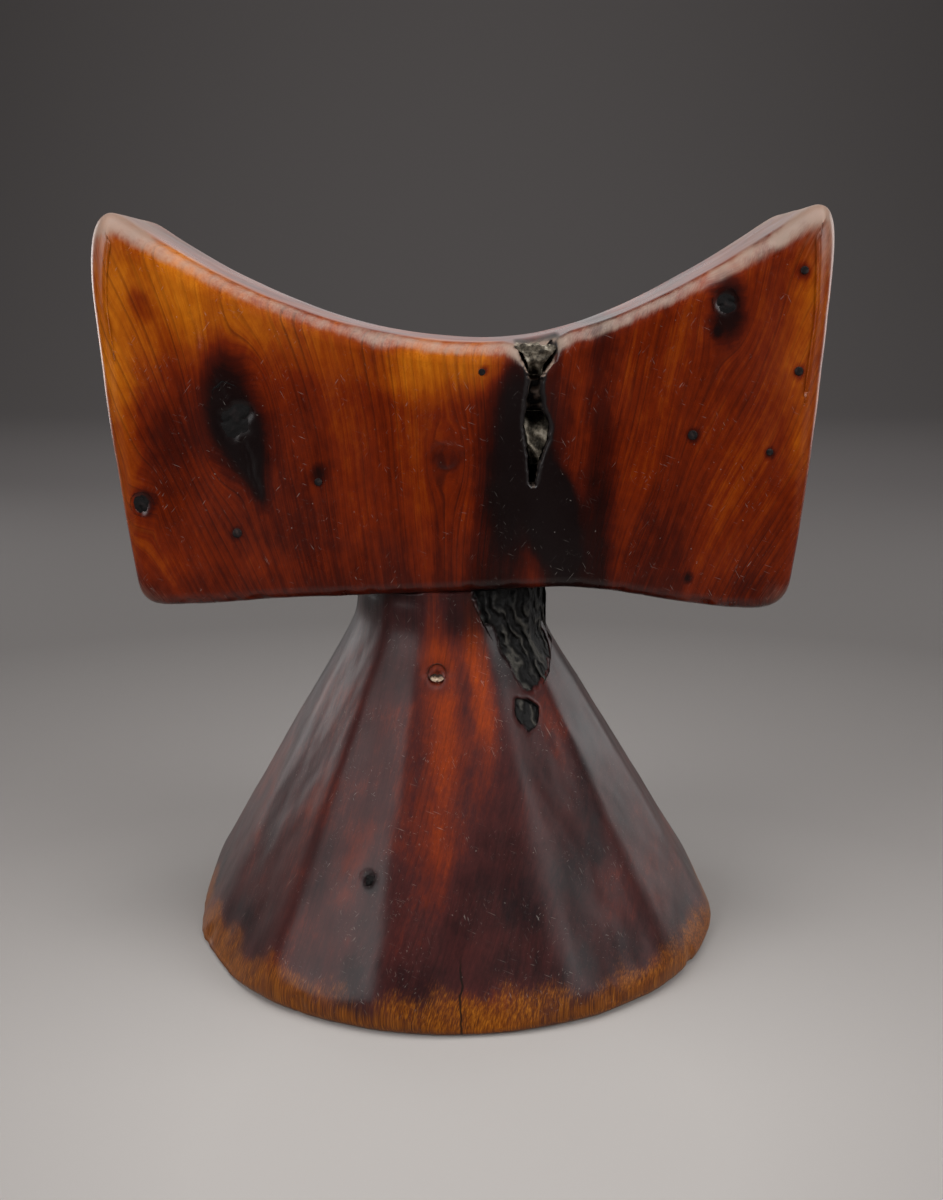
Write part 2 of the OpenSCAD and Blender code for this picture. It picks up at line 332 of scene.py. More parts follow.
# %% Join the grid to the wall
number = np.full((COLUMNS, ROWS), -1)
edge_u = np.concatenate([np.arange(across_count), np.full(up_count, across_count),
                         np.arange(across_count, 0, -1), np.zeros(up_count, int)])
edge_v = np.concatenate([np.full(across_count, up_count), np.arange(up_count, 0, -1),
                         np.zeros(across_count, int), np.arange(up_count)])
number[edge_u, edge_v] = np.arange(len(border))
inner = number < 0
count_in = int(inner.sum())
number[inner] = len(ring_points) + np.arange(count_in)
back = number + count_in
back[edge_u, edge_v] = (len(rings) - 1) * len(border) + np.arange(len(border))
flat = patch[inner]
front_inner = np.stack([flat[:, 0], np.full(count_in, -half_depth), flat[:, 1]], axis=1)
rest_points = np.vstack([ring_points, front_inner, front_inner * [1, -1, 1]])


def grid_faces(index, flip=False):
    a, b = index[:-1, :-1], index[1:, :-1]
    c, d = index[1:, 1:], index[:-1, 1:]
    order = (a, d, c, b) if flip else (a, b, c, d)
    return np.stack(order, axis=-1).reshape(-1, 4)


wall = np.arange(len(ring_points)).reshape(len(rings), len(border))
wall = np.hstack([wall, wall[:, :1]]).T
rest_faces = np.vstack([grid_faces(number), grid_faces(back, flip=True), grid_faces(wall)])
crescent = new_object("crescent", rest_points, rest_faces.tolist())
print("crescent:", len(rest_points), "points", 2 * len(rest_faces), "triangles")

# %% [markdown]
# ## Reading the split and the knots from the measured part
#
# Rays are sent in from the front. Where one sinks more than eight millimetres before it meets
# the measured block, there is the split. The answer is kept as a small grey map, softened by
# half a millimetre so that the split's lips come out rounded.

# %% Map what is cut into the front
def merged_tree(node):
    """A search tree of one measured part, in millimetres."""
    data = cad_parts[node].data
    return BVHTree.FromPolygons([v.co / MM for v in data.vertices],
                                [list(p.vertices) for p in data.polygons])


def soft_map(test, x_range, z_range, step=0.25, blur=2):
    """A lookup of 0 to 1 over the front, from a yes/no test, with softened borders."""
    xs, zs = np.arange(*x_range, step), np.arange(*z_range, step)
    grid = np.array([[float(test(x, z)) for z in zs] for x in xs])
    for _ in range(blur):
        padded = np.pad(grid, 1, mode="edge")
        grid = (padded[:-2, 1:-1] + padded[2:, 1:-1] + padded[1:-1, :-2] + padded[1:-1, 2:]
                + 2 * padded[1:-1, 1:-1]) / 6

    def look(x, z):
        i = np.clip((x - xs[0]) / step, 0, len(xs) - 1.001)
        j = np.clip((z - zs[0]) / step, 0, len(zs) - 1.001)
        i0, j0 = i.astype(int), j.astype(int)
        a, b = i - i0, j - j0
        return ((1 - a) * (1 - b) * grid[i0, j0] + a * (1 - b) * grid[i0 + 1, j0]
                + (1 - a) * b * grid[i0, j0 + 1] + a * b * grid[i0 + 1, j0 + 1])
    return look


block_tree = merged_tree("neck_rest")


def first_hit(tree, x, z):
    return tree.ray_cast(Vector((x, -300.0, z)), Vector((0, 1, 0)))[0]


DEEPER_THAN = 8
SPLIT_X = 16.6
SPLIT_BOTTOM = 110


def is_split(x, z):
    hit = first_hit(block_tree, x, z)
    return hit is not None and hit.y > -half_depth + DEEPER_THAN


saddle_top = float(np.interp(5, cap_top[:, 0], cap_top[:, 1])) + 4.4
split_map = soft_map(is_split, (8, 26), (108, saddle_top - 0.5), blur=1)


def split(x, z):
    """The split's map, flared a little at the saddle, and zero away from it."""
    flare = 1.0 - 0.22 * smooth_step(138, 145, z)
    inside = split_map(SPLIT_X + (x - SPLIT_X) * flare, np.minimum(z, saddle_top - 0.9))
    return inside * (np.abs(x - 17) < 9)


print("saddle height", round(saddle_top, 1), "mm")

# %% [markdown]
# A dead knot is the stub of a branch that died while the tree grew round it. Its measured part
# is a slanted peg, so its front end gives the place and width of the knot.

# %% Find the knots
def knot_face(node):
    """Centre and radius of the end that shows, taken from its frontmost points."""
    spots = np.array([v.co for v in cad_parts[node].data.vertices]) / MM
    facing = spots[spots[:, 1] < spots[:, 1].min() + 0.08 * np.ptp(spots[:, 1])]
    centre = 0.5 * (facing.min(axis=0) + facing.max(axis=0))
    return centre, 0.5 * np.ptp(facing[:, 0])


LIVE_KNOT = (-3.6, 120.6)
KNOTS = {name: knot_face(name) for name in ("left_dead_knot", "right_dead_knot", "edge_knot",
                                            "stem_upper_knot", "stem_lower_knot")}
for name, (centre, radius) in KNOTS.items():
    print(name, "at", centre.round(1), "radius", round(float(radius), 1))

# %% [markdown]
# ## Carving and wear on the crescent
#
# Each kind of damage is a short function that moves points. The split is pushed in where the
# map says so, deeper at its lens-shaped hollow than in the narrow channel above. A worn notch
# opens it at the saddle.

# %% Cut the split
HOLLOW_DEPTH = 12.5
CHANNEL_RISE = 8.2


def sink_split(points, x, y, z, wander):
    shallow = smooth_step(128, 132, z) * (1 - 0.45 * smooth_step(138, 142, z))
    floor_y = -half_depth + HOLLOW_DEPTH - CHANNEL_RISE * shallow
    floor_y = floor_y + 1.2 * noise_at(points, 2.0, 6)
    inside = (y < floor_y) & (z > SPLIT_BOTTOM)
    pushed = y + split(x + wander, z) * (floor_y - y)
    points[:, 1] = np.where(inside, pushed, points[:, 1])


def open_notch(points, x, y, z, wander):
    notch = np.clip(1 - np.abs(x + 0.5 * wander - SPLIT_X) / 7.5, 0, 1) ** 1.3
    near_front = smooth_step(-half_depth + 22, -half_depth + 3, y)
    points[:, 2] -= 3.4 * notch * near_front * smooth_step(137, 144, z)


print("split cutters ready")

# %% [markdown]
# Dead knots have shrunk a little below the surface, with a ragged rim. Three thin drying checks
# start near the largest one. A healed knot shows as a faint raised ring.

# %% Sink the knots
def sink_knots(points, x, z, on_front):
    for name, deep in (("left_dead_knot", 0.5), ("right_dead_knot", 0.6), ("edge_knot", 0.7)):
        centre, radius = KNOTS[name]
        away = np.hypot(x - centre[0], (z - centre[2]) * 0.9) / radius
        ragged = away + 0.34 * noise_at(points, 3.2, 9) + 0.12 * noise_at(points, 1.2, 10)
        points[:, 1] += on_front * deep * (1 - smooth_step(0.35, 0.85, ragged))


def open_checks(points, x, z, on_front):
    big_x, _, big_z = KNOTS["left_dead_knot"][0]
    checks = (((big_x + 1.8, big_z - 4.4), (big_x + 4.9, 111.2), 0.45),
              ((big_x - 9.0, 152.4), (big_x - 7.6, 145.2), 0.4),
              ((big_x - 2.2, big_z + 4.4), (big_x - 4.4, 138.6), 0.3))
    for (x0, z0), (x1, z1), deep in checks:
        share = np.clip((z - z0) / (z1 - z0), 0, 1)
        centre_x = x0 + (x1 - x0) * share + 0.3 * np.sin(z * 0.9)
        width = 0.15 + 0.30 * np.sin(math.pi * share)
        run = (z - z0) * (z - z1) < 0
        points[:, 1] += on_front * run * deep * np.exp(-((x - centre_x) / width) ** 2)


def ring_live_knot(points, x, z, on_front):
    away = np.hypot(x - LIVE_KNOT[0], z - LIVE_KNOT[1]) / 3.0
    away += 0.25 * noise_at(points, 2.5, 16)
    points[:, 1] += on_front * 0.22 * np.exp(-((away - 1) / 0.22) ** 2)


print("knot cutters ready")

# %% [markdown]
# The edges of the front have lost small chips. First of all, the whole skin gets a gentle
# unevenness of a quarter of a millimetre, because hand-scraped wood is never quite flat, and
# it is this that bends the reflections.

# %% Carve the crescent
def nick_edges(points, normals):
    arris = smooth_step(0.15, 0.6, np.abs(normals[:, 2])) * smooth_step(0.1, 0.5, -normals[:, 1])
    nicks = np.clip(noise_at(points * [1, 0.5, 0.5], 5.0, 14) - 0.12, 0, 0.5)
    nicks += 0.6 * np.clip(noise_at(points * [1, 0.5, 0.5], 1.8, 15) - 0.25, 0, 0.5)
    points -= normals * (0.9 * arris * nicks)[:, None]


def carve_crescent():
    points = rest_points.copy()
    normals = normals_of(crescent.data)
    soft = 0.16 * noise_at(points, 24.0, 1) + 0.10 * noise_at(points, 9.0, 2)
    points -= normals * (0.20 + soft)[:, None]
    x, y, z = points.T.copy()
    on_front = smooth_step(-half_depth + 5.2, -half_depth + 2.0, y)
    wander = 0.35 * noise_at(points * [1, 0.2, 1], 3.0, 5)
    wander += 0.32 * noise_at(points * [1, 0.2, 1], 1.2, 17)
    sink_split(points, x, y, z, wander)
    sink_knots(points, x, z, on_front)
    open_checks(points, x, z, on_front)
    ring_live_knot(points, x, z, on_front)
    open_notch(points, x, y, z, wander)
    nick_edges(points, normals)
    return points


carved = carve_crescent()
move_points(crescent.data, carved)
print("deepest cut", round(float(np.max(np.abs(carved - rest_points))), 1), "mm")

# %% [markdown]
# ## Where the figure of the wood runs
#
# The lines in the wood are year rings. They run up from the stem and fan out towards the horns,
# and they bend round knots as water bends round a stone, so the same sum is used: the
# flow past a cylinder. The distance from the tree's centre is stored at every point as `grain`.
# A shader can then draw rings that follow the surface and pass through to the other faces.

# %% Grain coordinates
def flow_past(x, z, centre, reach, stretch=0.45):
    """Shift across the grain so that lines part and close again round a knot."""
    dx, dz = x - centre[0], (z - centre[1]) * stretch
    far = np.maximum(dx * dx + dz * dz, (0.55 * reach) ** 2)
    return x - dx * np.clip(reach * reach / far, 0, 0.93)


def grain_of(points):
    """Ring distance, depth and height at each point, for the wood material."""
    x, y, z = points.T
    depth_fade = np.exp(-((y + half_depth) / 30.0) ** 2)
    bent = x
    for centre, reach in ((KNOTS["left_dead_knot"][0][::2], 6.8),
                          (KNOTS["right_dead_knot"][0][::2], 4.6),
                          (KNOTS["edge_knot"][0][::2], 3.6),
                          (LIVE_KNOT, 3.4)):
        bent = bent + depth_fade * (flow_past(x, z, centre, reach) - x)
    spread = 0.884 / (0.188 + 0.0058 * np.maximum(z, 88.0))
    across = bent * spread + 1.6 * noise_at(points * [1, 0.4, 0.35], 11.0, 12)
    rings = np.hypot(across + 150.0, y - 40.0)
    return np.stack([rings, y, z], axis=1)


rest_grain = grain_of(carved)
paint(crescent.data, "grain", rest_grain)
print("rings from", rest_grain[:, 0].min().round(), "to", rest_grain[:, 0].max().round(), "mm")

# %% [markdown]
# ## Stains, gold, wear and painted light on the crescent
#
# More fields are painted on the points. `tone` runs from near-black heartwood (0) to golden sapwood
# (1), and its gold on the upper left horn is partly painted sheen. The soot field holds soot and
# old oil, and also painted shade low on the crescent and inside the split. The wear field is the
# pale rubbing where hands lift it, and also painted highlight on the front top edge and on surfaces
# that face up. Each is a sum of soft ellipses, whose borders are shaken by noise so that none looks
# drawn.

# %% Tone of the crescent
# The rows at (-54, 158) and (-70, 152) brighten the upper left horn: partly real gold, partly
# painted sheen.
GOLD_AND_SHEEN = ((0.24, True, (-54, 158), (21, 10), -20, 0.7), (0.34, True, (-1, 141.5), (14, 6), 0, 0.8),
        (0.20, False, (77.5, 140), (4.5, 27), 0, 0.6), (0.22, True, (-70, 152), (12, 19), 8, 0.8),
        (0.26, False, (-80, 132), (6, 30), 0, 0.6), (0.14, True, (-26, 146), (16, 6), -8, 0.7))


def add_stains(start, rows, x, z, front):
    """Each row: amount, front face only or not, centre, radii, turn and softness."""
    total = start
    for amount, front_only, *ellipse in rows:
        total = total + amount * (front if front_only else 1) * blob(x, z, *ellipse)
    return total


def crescent_tone(x, z, px, pz, wob, front):
    """Gold on the left horn, partly painted sheen there, on the saddle's rim and both ends; maroon
    below and beside the split; painted shade towards the bottom of the front.
    """
    tone = 0.46 + 0.10 * noise_at(carved * [1, 1, 0.4], 15.0, 23)
    tone = add_stains(tone, GOLD_AND_SHEEN, px, pz, front)
    # Painted shade: the front darkens towards its bottom in the middle.
    tone -= 0.08 * front * smooth_step(112, 96, z) * smooth_step(62, 30, np.abs(x))
    tone -= 0.12 * front * blob(x, z, LIVE_KNOT, (3.4, 3.0), 0, 0.4)
    tone -= 0.06 * blob(px, pz, (40, 100), (14, 12), 0, 0.7)
    tone -= 0.07 * front * blob(px, pz, (62, 108), (20, 24), 0, 0.8)
    tone -= 0.27 * np.exp(-((x + 0.4 * wob - 30.5 - 0.03 * (z - 118)) / 4.2) ** 2)
    tone -= 0.16 * blob(px, pz, (-40, 120), (10, 20), 0, 0.7)
    return tone


print("tone ready")

# %% [markdown]
# Soot gathers round the knots and the split. The big knot has a pointed tail, and a broad stain
# runs from the split to the underside. Pin knots and small spots get a little each.

# %% Smoke on the crescent
SPOTS = (((-72.6, 110.4), 3.8), ((51.7, 125.8), 2.0), ((69.2, 121.8), 1.6), ((-32.6, 117), 2.6),
         ((-51.5, 103.5), 1.8), ((75, 139.8), 2.0), ((4.6, 140.2), 1.4), ((52.2, 93.0), 1.6),
         ((74.9, 161.6), 2.4))


def knot_smoke(x, z, px, pz, wob, front):
    soot_and_shade = 0.44 * front * blob(px, pz, (-66.5, 127), (7, 12), 0, 0.9)
    soot_and_shade += 0.95 * front * blob(x + 0.5 * wob, z, (-51.5, 130), (6.6, 13), 12, 0.55)
    tail = np.clip((130 - z) / 20, 0, 1)
    soot_and_shade += (0.9 * front * np.exp(-((x + 50.8 - 5.6 * tail) / (4.6 - 3.2 * tail)) ** 2)
              * smooth_step(107, 113, z) * smooth_step(133, 126, z))
    soot_and_shade += 0.85 * front * blob(x + 0.3 * wob, z, (58.4, 153.6), (3.7, 6.4), 0, 0.6)
    soot_and_shade += 0.55 * front * blob(x, z, (56.3, 148.6), (1.0, 1.3), 0, 0.6)
    soot_and_shade += 0.40 * front * blob(px, pz, (-71.3, 154.3), (2.2, 3.0), 0, 0.8)
    for spot, size in SPOTS:
        radii = (0.6 * size, 0.75 * size)
        soot_and_shade += 0.65 * front * blob(x + 0.2 * wob, z, spot, radii, 0, 0.7)
    return soot_and_shade


def split_smoke(x, y, z, pz, wob, front):
    soot_and_shade = 1.15 * front * blob(x + 0.5 * wob, pz, (21.5, 104), (5.6, 15), 12, 0.5)
    left = blob(x + 0.6 * wob, pz, (9.5, 112), (5.4, 29), -4, 0.8)
    soot_and_shade += 0.78 * smooth_step(-8, 18, -y) * left
    soot_and_shade += 0.62 * front * blob(x + 0.5 * wob, z, (17.2, 134), (7.5, 15), 0, 0.8)
    soot_and_shade += 0.50 * front * blob(x + 0.5 * wob, z, (17.5, 113), (9, 12), 0, 0.8)
    soot_and_shade += 0.30 * blob(x + 0.5 * wob, pz, (30.8, 118), (2.6, 34), 0, 0.9)
    return soot_and_shade


print("smoke ready:", len(SPOTS), "small spots")

# %% [markdown]
# Rubbing pales what sticks out: the horn tips and the lower corners. Painted highlight pales the
# front edge of the saddle and the surfaces that face up, where the overhead light falls. Slopes are
# read from the carved skin's normals, so the wear and the painted highlight follow the real edges.

# %% Wear and painted highlight on the crescent
def crescent_wear_and_sheen(x, z, wob, front, normals):
    wear_and_sheen_mottle = noise_at(carved, 5.0, 24) + 0.6 * noise_at(carved, 1.6, 25)
    worn = (0.50 + 0.28 * wear_and_sheen_mottle) * smooth_step(160, 177, z + 0.9 * wob)
    sides = smooth_step(74, 81, np.abs(x) + 0.3 * wob)
    worn += 0.35 * sides * smooth_step(150, 168, z)
    worn += 0.50 * smooth_step(62, 76, np.abs(x)) * smooth_step(97, 87, z + 0.3 * wob)
    # Painted highlight: surfaces that face up and the front top edge are paled where the overhead
    # light falls.
    worn += (0.20 + 0.12 * wear_and_sheen_mottle) * smooth_step(0.35, 0.95, normals[:, 2])
    arris = smooth_step(0.2, 0.5, normals[:, 2]) * smooth_step(0.15, 0.45, -normals[:, 1])
    worn += (0.42 + 0.30 * wear_and_sheen_mottle) * arris
    near_notch = blob(x, z, (SPLIT_X, 143), (7, 6), 0, 0.6) * front
    return worn + 0.55 * near_notch * smooth_step(0.1, 0.4, normals[:, 2])


print("wear ready")

# %% [markdown]
# Last come the walls of the split. Painted shade darkens them, more further in, and a band of
# painted shade darkens their lips; they have pale crumbs near the lips, and `dry` makes them dull
# where the rest of the wood shines.

# %% Paint the crescent
def paint_crescent():
    x, y, z = carved.T
    wob = 3.2 * noise_at(carved, 10.0, 20) + 1.1 * noise_at(carved, 3.0, 21)
    wob_z = 4.0 * noise_at(carved, 13.0, 22)
    px, pz = x + wob, z + wob_z
    front = smooth_step(4, 22, -y)
    tone = crescent_tone(x, z, px, pz, wob, front)
    soot_and_shade = knot_smoke(x, z, px, pz, wob, front) + split_smoke(x, y, z, pz, wob, front)
    # Painted shade: the lowest band of the crescent darkens, on every face.
    soot_and_shade += 0.20 * smooth_step(97, 89, z + 0.5 * wob_z)
    # Painted shade: a dark band along the split's lips.
    near_split = np.clip(split(x - 0.9, z) + split(x + 0.9, z), 0, 1) * (z > SPLIT_BOTTOM)
    near_split = near_split * smooth_step(2, 16, -y)
    soot_and_shade += 0.9 * near_split
    # Painted shade inside the carved cuts, darker further from the front.
    deep = smooth_step(0.6, 2.5, np.linalg.norm(carved - rest_points, axis=1))
    soot_and_shade = np.maximum(soot_and_shade, deep * (0.55 + 0.45 * smooth_step(4, 8, y + half_depth)))
    # Real wear, plus painted highlight on the front top edge and on surfaces that face up.
    worn = crescent_wear_and_sheen(x, z, wob, front, normals_of(crescent.data))
    lips = smooth_step(8, 3, y + half_depth)
    crumbs = np.clip(0.42 + 1.1 * noise_at(carved, 1.7, 26), 0, 1)
    worn += 0.75 * deep * (0.55 + 0.45 * lips) * crumbs * (np.abs(x - 17) < 9)
    dry = near_split + deep
    for name, values in (("tone", tone), ("soot_and_shade", soot_and_shade), ("worn", worn), ("dry", dry)):
        paint(crescent.data, name, np.clip(values, 0, 1.2))
    print("tone", tone.min().round(2), tone.max().round(2), "soot_and_shade", soot_and_shade.max().round(2))


paint_crescent()

# %% [markdown]
# ## The faceted stem, with Geometry Nodes
#
# The stem follows a rule: twelve straight knife cuts fan from a narrow neck to a wide foot,
# and a lathe-round foot trims them. So it is grown by a node tree from a very coarse cage,
# twelve columns by five bands. The corners of the cage are where the measured part's facets
# meet, read from level slices.

# %% Read the twelve ridges
RIDGES = 12


def level_loop(node, level):
    """The points of a level slice, sorted by their turn round its middle."""
    cut = sliced(node, (0, 0, level * MM), (0, 0, 1))
    spots = np.array([(v.co.x, v.co.y) for v in cut.verts]) / MM
    cut.free()
    middle = 0.5 * (spots.min(axis=0) + spots.max(axis=0))
    turn = np.arctan2(spots[:, 1] - middle[1], spots[:, 0] - middle[0])
    return spots[np.argsort(turn)]


def ridges_at(level):
    """The corners that stick out most from the line between their neighbours."""
    spots = level_loop("pedestal", level)
    hull = [Vector(p) for p in spots]
    while len(hull) > RIDGES:
        size = len(hull)
        lost = [abs((hull[i] - hull[i - 1]).cross(hull[(i + 1) % size] - hull[i]))
                for i in range(size)]
        hull.pop(int(np.argmin(lost)))
    corners = np.array(hull)
    middle = corners.mean(axis=0)
    turn = np.arctan2(corners[:, 1] - middle[1], corners[:, 0] - middle[0])
    return corners[np.argsort(turn)]


LOW = 34.0
HIGH = 62.0
NECK = 80.5
low_ring = ridges_at(LOW)
high_ring = ridges_at(HIGH)
neck_ring = ridges_at(NECK)
print("ridges:", len(low_ring), len(high_ring), len(neck_ring))

# %% [markdown]
# Two slices give each ridge its slope, so it can be carried down to the floor. Going up, it runs
# until it is as far in as the upright neck, and there the neck begins. The lid sits just inside
# the crescent and tilts with its underside.

# %% Lay out the cage
BAND_SHARES = (0.0, 0.25, 0.5, 0.75, 1.0)
LID_TILT = math.tan(math.radians(2.4))
LID_INSIDE = 0.8
ridge_slope = (high_ring - low_ring) / (HIGH - LOW)


def neck_join(ridge, at_floor, middle):
    """The height at which a ridge has come in as far as the neck."""
    heights = np.linspace(66, 86, 81)
    line = at_floor[ridge] + ridge_slope[ridge] * heights[:, None]
    reach = np.hypot(*(line - middle).T)
    neck_reach = float(np.hypot(*(neck_ring[ridge] - middle)))
    return float(np.interp(-neck_reach, -reach, heights))


def cage_points():
    at_floor = low_ring - ridge_slope * LOW
    middle = neck_ring.mean(axis=0)
    joins = [neck_join(ridge, at_floor, middle) for ridge in range(RIDGES)]
    levels = [[[*(at_floor[i] + ridge_slope[i] * joins[i] * share), joins[i] * share]
               for i in range(RIDGES)] for share in BAND_SHARES]
    levels.append([[*neck_ring[i], stem_high[2] + LID_INSIDE + LID_TILT * (neck_ring[i][0] - 20)]
                   for i in range(RIDGES)])
    return np.array(levels), joins


cage_levels, joins = cage_points()
cage_faces = [[RIDGES * a + i, RIDGES * a + (i + 1) % RIDGES,
               RIDGES * a + RIDGES + (i + 1) % RIDGES, RIDGES * a + RIDGES + i]
              for a in range(len(BAND_SHARES)) for i in range(RIDGES)]
cage_faces += [list(range(RIDGES - 1, -1, -1)),
               list(range(RIDGES * len(BAND_SHARES), RIDGES * len(BAND_SHARES) + RIDGES))]
stem = new_object("stem", cage_levels.reshape(-1, 3), cage_faces)
print("neck meets the flare at", round(min(joins)), "to", round(max(joins)), "mm")

# %% [markdown]
# Node trees are long when written out, so a few helpers make one node each. A value that is a
# socket becomes a link, and any other value is typed into the node.

# %% Helpers for node trees
def feed(tree, socket, value):
    if isinstance(value, bpy.types.NodeSocket):
        tree.links.new(value, socket)
    else:
        socket.default_value = value


def add(tree, kind, **settings):
    """A node with its settings; names that start with in_ are its inputs."""
    made = tree.nodes.new(kind)
    for name, value in settings.items():
        if name.startswith("in_"):
            key = name[3:]
            feed(tree, made.inputs[int(key) if key.isdigit() else key.replace("_", " ")], value)
        else:
            setattr(made, name, value)
    return made


def maths(tree, how, *values):
    made = add(tree, "ShaderNodeMath", operation=how)
    for socket, value in zip(made.inputs, values):
        feed(tree, socket, value)
    return made.outputs[0]


def vectors(tree, how, *values, out=0):
    made = add(tree, "ShaderNodeVectorMath", operation=how)
    for socket, value in zip([s for s in made.inputs if s.enabled], values):
        feed(tree, socket, value)
    return made.outputs[out]


def scale_vector(tree, vector, amount):
    made = add(tree, "ShaderNodeVectorMath", operation="SCALE", in_0=vector, in_Scale=amount)
    return made.outputs[0]


def fade(tree, value, low, high):
    """0 at low and 1 at high, in a straight line between them."""
    made = add(tree, "ShaderNodeMapRange", in_Value=value, in_From_Min=low, in_From_Max=high)
    return made.outputs[0]


def open_tree(name, inputs):
    tree = bpy.data.node_groups.new(name, "GeometryNodeTree")
    face = tree.interface
    face.new_socket("Geometry", in_out="INPUT", socket_type="NodeSocketGeometry")
    face.new_socket("Geometry", in_out="OUTPUT", socket_type="NodeSocketGeometry")
    for label, kind in inputs:
        face.new_socket(label, in_out="INPUT", socket_type="NodeSocket" + kind)
    return tree, add(tree, "NodeGroupInput"), add(tree, "NodeGroupOutput")


print("node helpers ready")

# %% [markdown]
# The tree takes the cage and works like the carver. First every point outside the round foot
# is pulled in to it. Near the floor the limit shrinks along a quarter circle, which rounds the
# foot's lower edge.

# %% Trim to the round foot
def position(tree):
    return add(tree, "GeometryNodeInputPosition").outputs[0]


def trim_to_foot(tree, named, shape):
    place = position(tree)
    edge = named["Foot Edge"]
    away = vectors(tree, "MULTIPLY", vectors(tree, "SUBTRACT", place, named["Foot Centre"]),
                   (1, 1, 0))
    reach = vectors(tree, "LENGTH", away, out=1)
    height = add(tree, "ShaderNodeSeparateXYZ", in_0=place).outputs[2]
    below = maths(tree, "MAXIMUM", maths(tree, "SUBTRACT", edge, height), 0.0)
    square = maths(tree, "SUBTRACT", maths(tree, "MULTIPLY", edge, edge),
                   maths(tree, "MULTIPLY", below, below))
    round_in = maths(tree, "SQRT", maths(tree, "MAXIMUM", 0.0, square))
    limit = maths(tree, "ADD", maths(tree, "SUBTRACT", named["Foot Radius"], edge), round_in)
    share = maths(tree, "MINIMUM", 1.0, maths(tree, "DIVIDE", limit,
                                              maths(tree, "MAXIMUM", reach, 1e-5)))
    pull = scale_vector(tree, away, maths(tree, "SUBTRACT", share, 1.0))
    return add(tree, "GeometryNodeSetPosition", in_0=shape, in_Offset=pull).outputs[0]


print("foot trimmer ready")

# %% [markdown]
# Blurring the positions of neighbours wears ridges round, as years of hands do. A share
# from 0 to 1 says where it acts. The tool marks are noise that pushes along the normal.

# %% Wear the ridges and leave tool marks
def soften(tree, shape, rounds, where):
    blurred = add(tree, "GeometryNodeBlurAttribute", data_type="FLOAT_VECTOR",
                  in_Value=position(tree), in_Iterations=rounds)
    shift = vectors(tree, "SUBTRACT", blurred.outputs[0], position(tree))
    return add(tree, "GeometryNodeSetPosition", in_0=shape,
               in_Offset=scale_vector(tree, shift, where)).outputs[0]


def leave_tool_marks(tree, named, shape):
    size = named["Tool Mark Size"]
    even = add(tree, "ShaderNodeCombineXYZ", in_0=size, in_1=size, in_2=size).outputs[0]
    spot = vectors(tree, "DIVIDE", vectors(tree, "MULTIPLY", position(tree), (1, 1, 0.4)), even)
    marks = add(tree, "ShaderNodeTexNoise", noise_dimensions="4D", in_Vector=spot,
                in_W=named["Seed"], in_Scale=1.0, in_Detail=2.0)
    depth = maths(tree, "MULTIPLY", named["Tool Mark Depth"],
                  maths(tree, "SUBTRACT", marks.outputs[0], 0.75))
    push = scale_vector(tree, add(tree, "GeometryNodeInputNormal").outputs[0], depth)
    return add(tree, "GeometryNodeSetPosition", in_0=shape, in_Offset=push).outputs[0]


print("wear and tool marks ready")

# %% [markdown]
# The steps are now joined. Each size is a named input, so a different foot or sharper ridges
# need one number. The floor face keeps its flat edge, because the ridge wear fades in
# above it, and the neck is blurred again where it meets the flare.

# %% Build the carving tree
def build_carving_tree():
    tree, given, result = open_tree("carved_stem", (
        ("Cuts", "Int"), ("Foot Radius", "Float"), ("Foot Centre", "Vector"),
        ("Foot Edge", "Float"), ("Ridge Wear", "Int"), ("Neck Wear", "Int"),
        ("Tool Mark Depth", "Float"), ("Tool Mark Size", "Float"), ("Seed", "Int"),
        ("Finish", "Material")))
    named = given.outputs
    fine = add(tree, "GeometryNodeSubdivideMesh", in_0=named["Geometry"], in_1=named["Cuts"])
    trimmed = trim_to_foot(tree, named, fine.outputs[0])
    level = add(tree, "ShaderNodeSeparateXYZ", in_0=position(tree)).outputs[2]
    off_floor = fade(tree, level, 0.5 * MM, 5.0 * MM)
    worn = soften(tree, trimmed, named["Ridge Wear"], off_floor)
    at_neck = maths(tree, "MULTIPLY", fade(tree, level, 60 * MM, 76 * MM),
                    fade(tree, level, 88.5 * MM, 86 * MM))
    worn = soften(tree, worn, named["Neck Wear"], at_neck)
    marked = leave_tool_marks(tree, named, worn)
    real = add(tree, "GeometryNodeRealizeInstances", in_0=marked)
    done = add(tree, "GeometryNodeSetMaterial", in_0=real.outputs[0],
               in_Material=named["Finish"])
    tree.links.new(done.outputs[0], result.inputs[0])
    return tree


carving = build_carving_tree()
print("carving tree:", len(carving.nodes), "nodes")

# %% [markdown]
# The tree is run once and its result kept as a plain mesh, so that later cells can move single
# points. The foot's radius is half the mean of the measured width and depth.

# %% Grow the stem
def settle(piece, step):
    """Keep a modifier's result as a plain mesh."""
    bpy.context.view_layer.update()
    ready = piece.evaluated_get(bpy.context.evaluated_depsgraph_get())
    piece.data = bpy.data.meshes.new_from_object(ready)
    piece.modifiers.remove(step)
    piece.data.shade_smooth()


def grow(piece, tree, values):
    """Run a tree on a piece with named inputs."""
    step = piece.modifiers.new(tree.name, "NODES")
    step.node_group = tree
    for item in tree.interface.items_tree:
        if item.in_out == "INPUT" and item.name in values:
            step[item.identifier] = values[item.name]
    settle(piece, step)


